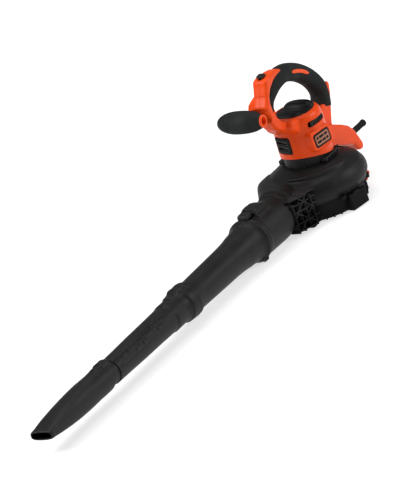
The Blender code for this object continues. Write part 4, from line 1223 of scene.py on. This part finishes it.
def dense_profile(profile, step):
    line = []
    for (r0, z0), (r1, z1) in zip(profile, profile[1:]):
        count = max(1, math.ceil(math.hypot(r1 - r0, z1 - z0) / step))
        line += [(r0 + (r1 - r0) * i / count, z0 + (z1 - z0) * i / count) for i in range(count)]
    line.append(profile[-1])
    return line


def slanted(obj, lean, about):
    """Lean a piece forwards as it rises, by lean millimetres over its height."""
    for vertex in obj.data.vertices:
        vertex.co.x += lean * (vertex.co.z - about * MM)
    return obj


def housing_skin():
    bracket = rings("bracket", [[(x, y, z) for x, z in outline] for y, outline in BRACKET])
    badge_seats = []
    for side, (x, _) in BADGES.items():
        seat = rounded_plate("seat", x, 30, 129, 170, side * 34, side * 55.0, 9)
        badge_seats.append(badge_place(rounded(seat, 2.5, 3), side))
    shoulder = slab("shoulder", [(10, 176), (48, 176), (70, 194), (60, 210), (20, 202)], -34, 30, 8, 4)
    solids = [
        barrel_solid("barrel"),
        slab("stem", STEM, -16.5, 16.5, 5.5, 4),
        slab("finger", FINGER, -13, 13, 4.5, 4),
        slab("post", POST, -16.5, 16.5, 5.0, 4),
        slab("tail", TAIL, -34, 34, 8.0, 5),
        bracket,
        shoulder,
        *badge_seats,
    ]
    return moulded("housing", solids, sizes().housing_grain, 6)


def badge_place(obj, side):
    """Turn a piece of a badge to follow the barrel, and lean it forwards."""
    x, turn = BADGES[side]
    return turned(slanted(obj, 0.06, 149), turn, "Z", (x, side * 52, 0))


def under_slope(name, height, low, high):
    """A block laid along the sloping plane that the housing's lower edge follows."""
    sloped = turned(block(name, low, high), -math.degrees(math.atan(0.2)), "Y")
    return moved(sloped, Matrix.Translation((0, 0, height * MM)))


def rounded_plate(name, x, half, low_z, high_z, low_y, high_y, corner):
    """A plate facing along Y, with round corners."""
    outline = []
    for cx, cz, start in (
        (x + half - corner, high_z - corner, 0),
        (x - half + corner, high_z - corner, 90),
        (x - half + corner, low_z + corner, 180),
        (x + half - corner, low_z + corner, 270),
    ):
        for k in range(7):
            angle = math.radians(start + 15 * k)
            outline.append((cx + corner * math.cos(angle), cz + corner * math.sin(angle)))
    return slab(name, outline, low_y, high_y)


class OBJECT_OT_blower_housing(Operator):
    """Build the two halves of the orange motor housing, with vents, badges and saddle"""

    bl_idname = "object.blower_housing"
    bl_label = "Motor housing"

    def execute(self, context):
        skin = housing_skin()
        bore = lathe("bore", [(0.5, 187), (49, 187), (49, 80), (0.5, 80)], 80)
        top_hole = bar("top_hole", (0, 0, 180), (0, 0, 220), 40.5, sides=96)
        outline = [(-46, 140), (-76, 129), (-112, 107), (-124, 92), (-112, 84), (-60, 90), (-46, 90)]
        tail_room = slab("tail_room", outline, -30, 30, 4)
        outline = [(0.5, 102.2), (51, 102.2), (67, 99), (87, 88.6), (101, 81), (112, 69), (116, 58)]
        case_room = lathe("case_room", [*outline, (116, 20), (0.5, 20)], 96)
        saddle_ends = [(SIDE_HANDLE_X, y, SIDE_HANDLE_Z) for y in (-110, 40)]
        saddle = bar("saddle", *saddle_ends, 24.0, sides=72)
        slot = block("slot", (56, -4.4, 298), (80, 4.4, 330), 0.8)
        gland = bar("gland", (-95, GLAND_Y, GLAND_Z), (-165, GLAND_Y, GLAND_Z), 6.9)
        slope = under_slope("slope", 113.0, (-60, -80, -60), (130, 80, 0))
        skin = cut(skin, slope, case_room, bore, top_hole, tail_room, saddle, slot, gland)
        skin = cut(skin, *self.vent_tools(0.35))
        for side, (x, _) in BADGES.items():
            recess = rounded_plate("recess", x, 23.6, 134.4, 164.2, side * 53.2, side * 60, 6.0)
            skin = cut(skin, badge_place(recess, side))
        skin = cut(skin, block("groove", (94, -20, 280.4), (120, 20, 281.3)))
        gap = sizes().parting_gap / MM / 2
        right = copied(skin, "right")
        left = sliced(skin, (0, gap, 0), (0, -1, 0))
        right = sliced(right, (0, -gap, 0), (0, 1, 0))
        dress(left, "motor_housing_left", "orange_nylon", replaces=["housing_left"])
        dress(right, "motor_housing_right", "orange_nylon", replaces=["housing_right"])
        self.vents()
        self.badges()
        return {"FINISHED"}

    def vent_tools(self, grow):
        front = block("front", (38, -20 - grow, -18 - grow), (66, 20 + grow, 18 + grow), 5 + grow, 4)
        tools = [self.front_place(front)]
        for side in (1, -1):
            low = (-18 - grow, side * 40, SIDE_SLOT_Z - 5.4 - grow)
            high = (30 + grow, side * 60, SIDE_SLOT_Z + 5.2 + grow)
            tools.append(block("side", low, high, 3.2, 3))
        return tools

    def front_place(self, obj):
        """Turn a piece of the front vent to where the vent sits on the barrel."""
        return moved(turned(obj, VENT_LEAN), Matrix.Translation((0, 0, VENT_Z * MM)))

    def vents(self):
        grille = block("grille", (47, -19.4, -17.4), (52.8, 19.4, 17.4), 3.0, 4)
        hoods = []
        for z in (12.5, 1.0, -11):
            outline = [(50, z + 2.2), (53.6, z + 1.4), (54.6, z - 1.0), (50, z - 2.0)]
            hoods.append(slab("hood", outline, -15.5, 15.5, 0.8))
        slots = [block("slot", (40, -14.5, z - 2.3), (60, 14.5, z + 2.3), 1.6) for z in (6.6, -5.4)]
        grille = self.front_place(gathered("front_grille", [cut(grille, *slots), *hoods]))
        dress(grille, "front_vent_grille", "black_nylon", replaces=["front_vent"])
        for side, tag in ((1, "left"), (-1, "right")):
            low, high = sorted((side * 46, side * 51.2))
            frame_bar = block("frame", (-17.6, low, 178.9), (29.6, high, 188.9), 3.0, 3)
            dent = block("dent", (-14, side * 49.4, 181.4), (26, side * 60, 186.6), 1.8, 3)
            parts = [cut(frame_bar, dent)]
            for x in (-6, 2, 10, 18):
                parts.append(block("rib", (x, side * 49.2, 182.3), (x + 1.2, side * 50.8, 185.8), 0.3))
            slot = gathered("slot", parts)
            dress(slot, f"side_slot_{tag}", "black_nylon", replaces=[f"side_vent_{tag}"])

    def badges(self):
        for side, tag in ((1, "left"), (-1, "right")):
            x = BADGES[side][0]
            plate = rounded_plate("plate", x, 23.0, 135.0, 163.6, side * 53.4, side * 54.9, 5.6)
            plate = badge_place(rounded(plate, 0.3, 2), side)
            dress(plate, f"badge_plate_{tag}", "badge_face", replaces=[f"badge_{tag}"])
            panel = rounded_plate("panel", x, 19.2, 138.9, 159.7, side * 54.95, side * 55.5, 3.4)
            panel = badge_place(rounded(panel, 0.2, 2), side)
            dress(panel, f"badge_panel_{tag}", "badge_face", finish=made_once(badge_panel))
            marks = [
                block("mark", (x + left, side * 55.55, z), (x + left + width, side * 56.0, z + 5.4), 0.6)
                for left, z, width in (
                    (-16, 151.2, 9),
                    (-5, 151.2, 13),
                    (10, 151.2, 6),
                    (-16, 142.2, 6),
                    (-8, 142.2, 10),
                    (4, 142.2, 12),
                )
            ]
            dress(badge_place(gathered("marks", marks), side), f"badge_marks_{tag}", "badge_face")


class OBJECT_OT_blower_top_cap(Operator):
    """Build the black vent cap on the motor housing, with its two louvred lobes"""

    bl_idname = "object.blower_top_cap"
    bl_label = "Top cap"

    def execute(self, context):
        rim = ((0.5, 204.5), (37, 204.5), (39.6, 204), (40.1, 203), (40.1, 200.6), (0.5, 200.6))
        base = lathe("base", rim, 96)
        rear = self.lobe("rear", -19.5, 18.0, 34.5, 13.6)
        front = self.lobe("front", 21.0, 16.0, 33.5, 8.6)
        sill = block("sill", (-42, -42, 190), (42, 42, 200.7))
        skin = cut(moulded("cap", [base, rear, front], 0.001, 2), sill)
        slots = [
            block("slot", (x, -reach, z), (x + width, reach, 222), 0.8)
            for x, width, reach, z in (
                (-24, 3.4, 23, 209.6),
                (-13, 3.4, 25, 211.2),
                (16, 3.0, 22, 207.8),
                (24, 3.0, 22, 207.8),
            )
        ]
        skin = cut(skin, *slots)
        dress(skin, "vent_cap", "black_nylon", replaces=["top_cap"])
        return {"FINISHED"}

    def lobe(self, name, x, half_x, half_y, height):
        """A steep-sided dome across the cap."""
        rows = []
        for turn in (0.0, *[math.radians(9.8 * i) for i in range(10)]):
            scale = max(0.02, math.cos(turn)) ** 0.55
            z = 202.5 + height * math.sin(turn) if rows else 200.0
            oval = superellipse(0, 0, 0, half_x * scale, half_y * scale, 2.3)
            rows.append([(x + across, along, z) for _, across, along in oval])
        return rings(name, rows)


class OBJECT_OT_blower_motor_base(Operator):
    """Build the black base ring under the motor housing, with an air box on each side"""

    bl_idname = "object.blower_motor_base"
    bl_label = "Motor base"

    def execute(self, context):
        profile = ((49.2, 124), (49.2, 104), (48.4, 101.0), (45.4, 101.0), (45.4, 124))
        above = under_slope("above", 112.6, (-140, -90, 0), (140, 90, 60))
        parts = [cut(turned_ring("wall", profile, 96), above)]
        for i in range(4):
            parts.append(radial_block("arm", (12, -4, 101.0), (46, 4, 105), 45 + 90 * i, 0.8))
        profile = ((17, 110.6), (17, 100.8), (8.4, 100.8), (8.4, 102.6), (13.3, 102.6), (13.3, 110.6))
        parts.append(turned_ring("hub", profile, 48))
        for side in (1, -1):
            box = block("box", (-28, side * 44, 101.4), (25, side * 56.4, 110.0), 2.0)
            parts.append(cut(box, block("slot", (-23, side * 53.4, 103.6), (20, side * 60, 107.2), 1.0)))
            for x in (-14, -5, 4, 13):
                parts.append(block("fin", (x, side * 53.0, 103.2), (x + 1.2, side * 55.6, 107.6), 0.3))
        for degrees, top in ((-20, 106), (20, 118)):
            parts.append(radial_block("ridge", (47.5, -1.2, 101.4), (50.6, 1.2, top), degrees, 0.5))
        dress(gathered("base", parts), "motor_base_ring", "black_nylon", replaces=["motor_base"])
        return {"FINISHED"}


# ---------------------------------------------------------------- grips and controls

# The grip's middle line in X and Z, with its radius there, drawn for a sleeve this thick.
DRAWN_GRIP_THICKNESS = 0.037
GRIP_LINE = (
    ((84, 241), 6.0),
    ((81, 253), 10.5),
    ((75, 265), 15.0),
    ((64, 276), 18.0),
    ((46, 284), 19.0),
    ((28, 287), 19.0),
    ((8, 287), 18.5),
    ((-14, 281.5), 18.5),
    ((-44, 266.5), 18.5),
    ((-73, 243.5), 18.5),
    ((-92, 219), 19.0),
    ((-99, 198), 19.5),
    ((-96, 182), 20.0),
    ((-92, 170), 20.0),
)


def grip_rows(count=40):
    """Cross-sections of the rubber along the handle, from the stem over the top to the post."""
    path = flowing([(x, r, z) for (x, z), r in GRIP_LINE], 5)
    ratio = sizes().grip_width / sizes().grip_thickness
    rows = []
    for i, point in enumerate(path):
        before, after = path[max(0, i - 1)], path[min(len(path) - 1, i + 1)]
        along = Vector((after.x - before.x, 0, after.z - before.z)).normalized()
        out = Vector((along.z, 0, -along.x))
        radius = point.y * sizes().grip_thickness / DRAWN_GRIP_THICKNESS
        row = []
        for k in range(count):
            angle = 2 * math.pi * k / count
            c, s = math.cos(angle), math.sin(angle)
            reach = Vector((0, 0, 0))
            reach += out * radius * math.copysign(abs(c) ** 0.86, c)
            reach += Vector((0, 1, 0)) * max(radius, 14) * ratio * math.copysign(abs(s) ** 0.86, s)
            row.append(Vector((point.x, 0, point.z)) + reach)
        rows.append(row)
    return rows


class OBJECT_OT_blower_grip(Operator):
    """Build the rubber grip and the orange strip let into it"""

    bl_idname = "object.blower_grip"
    bl_label = "Grip"

    def execute(self, context):
        sleeve = rings("sleeve", grip_rows())
        outline = [(86, 236), (90, 262), (86, 276), (75, 288), (60, 297), (56, 302), (56, 330)]
        stem_room = slab("stem_room", [*outline, (130, 330), (130, 236)], -30, 30)
        sleeve = cut(sleeve, stem_room, self.strip("room", 0.4, 18.2))
        dress(sleeve, "grip_rubber_sleeve", "grip_rubber", replaces=["grip_sleeve"], smooth_below=40)
        dress(self.strip("strip", 0.0, 17.48), "grip_strip", "orange_nylon", replaces=["grip_inlay"])
        return {"FINISHED"}

    def strip(self, name, grow, high):
        """A bar with round ends along the outside of the grip, which faces left at Y = high."""
        path = flowing([(-9, 0, 283.5), (-26, 0, 277.5), (-43, 0, 269), (-61, 0, 256)], 5)
        rows = []
        last = len(path) - 1
        for i, point in enumerate(path):
            before, after = path[max(0, i - 1)], path[min(last, i + 1)]
            along = (after - before).normalized()
            across = Vector((-along.z, 0, along.x))
            ends = min(i, last - i) / 2.5
            half = (4.4 + grow) * math.sqrt(max(0.12, 1 - max(0, 1 - ends) ** 2))
            low = 12.0 - grow
            out = Vector((0, 1, 0))
            rows.append(
                [
                    point + out * low - across * half,
                    point + out * high - across * half * 0.8,
                    point + out * (high + 0.5),
                    point + out * high + across * half * 0.8,
                    point + out * low + across * half,
                ]
            )
        return rings(name, rows)


class OBJECT_OT_blower_side_handle(Operator):
    """Build the side handle: its rubber spindle and the orange core through it"""

    bl_idname = "object.blower_side_handle"
    bl_label = "Side handle"

    def execute(self, context):
        profile = []
        for i in range(49):
            t = i / 48
            if t < 0.5:
                swell = max(0.02, 1 - abs(2 * (t * 0.97) - 0.93) ** 2.35) ** 0.5
            else:
                swell = max(0.3, 1 - abs((t - 0.47) / 0.60) ** 2.4) ** 0.5
            profile.append((23.2 * swell, -91.5 + 101.0 * t))
        ends = [(SIDE_HANDLE_X, y, SIDE_HANDLE_Z) for y in (13, -60)]
        foot_room = block("foot_room", (94, -22.6, 232.4), (124, 0.6, 251.6))
        spindle = cut(self.along_handle("spindle", profile), bar("room", *ends, 11.3), foot_room)
        dress(spindle, "side_grip_spindle", "grip_rubber", replaces=["side_grip"], smooth_below=40)
        stem = ((11.0, -58), (11.0, 9.0), (13.0, 9.8), (13.2, 11.6), (12.0, 12.6))
        cup = ((8.6, 12.4), (7.6, 10.4), (7.2, 4.0), (0.4, 3.6))
        rim = self.along_handle("rim", (*stem, *cup))
        foot = block("foot", (102.4, -22, 233.2), (122, 0, 250.8), 1.5)
        core = gathered("core", [rim, foot])
        dress(core, "side_handle_end", "orange_nylon", replaces=["side_handle_core"])
        return {"FINISHED"}

    def along_handle(self, name, profile):
        """Turn (radius, y) points about the side handle's axis."""
        return rings(name, [circle("Y", (SIDE_HANDLE_X, y, SIDE_HANDLE_Z), r, 64) for r, y in profile])


class OBJECT_OT_blower_controls(Operator):
    """Build the grooved speed slider on top of the handle's stem"""

    bl_idname = "object.blower_controls"
    bl_label = "Speed slider"

    def execute(self, context):
        outline = [(63, 312.5), (79, 312.5), (78.6, 315.8), (75, 317), (67, 317), (63.4, 315.8)]
        parts = [slab("pad", outline, -7.2, 7.2, 1.2), block("stalk", (68, -3.4, 300), (74, 3.4, 314))]
        for i in range(4):
            x = 66.4 + 2.6 * i
            parts.append(block("ridge", (x, -5.8, 316.5), (x + 1.3, 5.8, 318.0), 0.4))
        slider = gathered("slider", parts)
        dress(slider, "speed_slide_button", "black_nylon", "slider", ["speed_slider"])
        return {"FINISHED"}


class OBJECT_OT_blower_cable_entry(Operator):
    """Build the ribbed rubber gland at the rear"""

    bl_idname = "object.blower_cable_entry"
    bl_label = "Cable gland"

    def execute(self, context):
        stations = [(-112, 6.0), (-136, 6.3), (-140, 6.3)]
        for i in range(6):
            x = -143 - 5.4 * i
            stations += [(x, 6.3), (x - 1.2, 6.4), (x - 1.6, 5.4), (x - 3.6, 5.4), (x - 4.0, 6.3)]
        stations += [(-177, 6.2), (-178, 7.2), (-181.6, 7.2), (-182.8, 6.2)]
        stations += [(-182.8, 3.4), (-112, 3.0)]
        rows = [circle("X", (x, GLAND_Y, GLAND_Z), radius, 32) for x, radius in stations]
        dress(rings("gland", rows, loop=True), "cable_sleeve", "grip_rubber", replaces=["cable_gland"])
        return {"FINISHED"}


class OBJECT_OT_blower_screws(Operator):
    """Build the cross-headed screws of the housing"""

    bl_idname = "object.blower_screws"
    bl_label = "Screws"

    def execute(self, context):
        for i in range(1, 5):
            low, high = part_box(f"housing_screw_{i}")
            centre = (low + high) / 2 / MM
            y0, y1 = low.y / MM, high.y / MM
            profile = ((y1, 3.4), (y0 + 1.1, 3.6), (y0 + 0.5, 3.3), (y0, 2.4))
            head = rings("head", [circle("Y", (centre.x, y, centre.z), r, 32) for y, r in profile])
            corner = Vector((2.1, 0, 0.5))
            start, end = Vector((centre.x, y0 - 1, centre.z)), Vector((centre.x, y0 + 1.1, centre.z))
            for turn in (45, -45):
                tool = block("cross", start - corner, end + corner)
                head = cut(head, turned(tool, turn, "Y", centre))
            dress(head, f"housing_screw_head_{i}", "steel", replaces=[f"housing_screw_{i}"])
        return {"FINISHED"}


class OBJECT_OT_blower_inside(Operator):
    """Give the motor and every other piece kept from the frame its finish"""

    bl_idname = "object.blower_inside"
    bl_label = "Inside pieces"

    def execute(self, context):
        slots = {entry["node"]: entry["material_slot"] for entry in frame["record"]["subparts"]}
        for name, node in frame["nodes"].items():
            if node.hide_render:
                continue
            node.data.materials.clear()
            node.data.materials.append(finish_of(slots[name]))
            node.data.shade_smooth()
            node.data.set_sharp_from_angle(angle=math.radians(35))
        return {"FINISHED"}


# ---------------------------------------------------------------- studio

RIGHT = Vector((-0.47712, 0.8302, -0.28831)).normalized()
UP = Vector((-0.44348, 0.05579, 0.89455)).normalized()


def area_light(name, place, target, size, power):
    data = bpy.data.lights.new(name, "AREA")
    data.shape = "DISK"
    data.size = size
    data.energy = power
    light = bpy.data.objects.new(name, data)
    light.location = place
    light.rotation_euler = (Vector(target) - Vector(place)).to_track_quat("-Z", "Y").to_euler()
    bpy.context.scene.collection.objects.link(light)
    return light


class OBJECT_OT_blower_studio(Operator):
    """Build the pale floor, the soft lights and the camera"""

    bl_idname = "object.blower_studio"
    bl_label = "Studio"

    def execute(self, context):
        back = RIGHT.cross(UP).normalized()
        up = back.cross(RIGHT).normalized()
        bm = bmesh.new()
        bmesh.ops.create_grid(bm, x_segments=24, y_segments=24, size=14.0)
        floor = shape("floor", bm)
        floor.location = (0.4, 0, -0.0005)
        floor.data.materials.append(studio_floor())
        data = bpy.data.cameras.new("camera")
        data.lens = 1300.0
        data.sensor_width = 36.0
        data.clip_start = 0.5
        data.clip_end = 80.0
        camera = bpy.data.objects.new("camera", data)
        aim = RIGHT * -0.24314 + up * -0.0895
        camera.location = aim + back * 35.4
        basis = Matrix((RIGHT, up, back)).transposed()
        camera.rotation_mode = "QUATERNION"
        camera.rotation_quaternion = basis.to_quaternion()
        context.scene.collection.objects.link(camera)
        context.scene.camera = camera
        area_light("key", (2.6, -1.7, 2.7), (0.3, 0, 0.1), 1.8, 115)
        area_light("side", (-1.6, 2.8, 1.7), (0.1, 0, 0.15), 1.5, 62)
        area_light("top", (-0.5, -0.2, 3.4), (0.2, 0, 0.1), 2.4, 55)
        world = bpy.data.worlds.new("studio")
        world.use_nodes = True
        world.node_tree.nodes["Background"].inputs["Color"].default_value = (1, 1, 1, 1)
        world.node_tree.nodes["Background"].inputs["Strength"].default_value = 0.24
        context.scene.world = world
        context.scene.view_settings.view_transform = "Standard"
        return {"FINISHED"}


PIECES = (
    OBJECT_OT_blower_studio,
    OBJECT_OT_blower_fan_case,
    OBJECT_OT_blower_inlet_cover,
    OBJECT_OT_blower_outlet,
    OBJECT_OT_blower_upper_tube,
    OBJECT_OT_blower_lower_tube,
    OBJECT_OT_blower_nozzle,
    OBJECT_OT_blower_housing,
    OBJECT_OT_blower_top_cap,
    OBJECT_OT_blower_motor_base,
    OBJECT_OT_blower_grip,
    OBJECT_OT_blower_side_handle,
    OBJECT_OT_blower_controls,
    OBJECT_OT_blower_cable_entry,
    OBJECT_OT_blower_screws,
    OBJECT_OT_blower_inside,
)


class VIEW3D_PT_leaf_blower(Panel):
    """Lists the sizes, the colours and every piece"""

    bl_label = "Leaf Blower"
    bl_idname = "VIEW3D_PT_leaf_blower"
    bl_space_type = "VIEW_3D"
    bl_region_type = "UI"
    bl_category = "Leaf Blower"

    def draw(self, context):
        for group in (context.scene.blower_sizes, context.scene.blower_colours):
            for key in group.__annotations__:
                self.layout.prop(group, key)
        for piece in PIECES:
            self.layout.operator(piece.bl_idname)


CLASSES = (BlowerSizes, BlowerColours, *PIECES, VIEW3D_PT_leaf_blower)


def register():
    for item in CLASSES:
        bpy.utils.register_class(item)
    bpy.types.Scene.blower_sizes = PointerProperty(type=BlowerSizes)
    bpy.types.Scene.blower_colours = PointerProperty(type=BlowerColours)


def unregister():
    del bpy.types.Scene.blower_colours
    del bpy.types.Scene.blower_sizes
    for item in reversed(CLASSES):
        bpy.utils.unregister_class(item)


def main():
    register()
    for piece in PIECES:
        group, name = piece.bl_idname.split(".")
        getattr(getattr(bpy.ops, group), name)()
    bpy.context.view_layer.update()


if __name__ == "__main__":
    main()
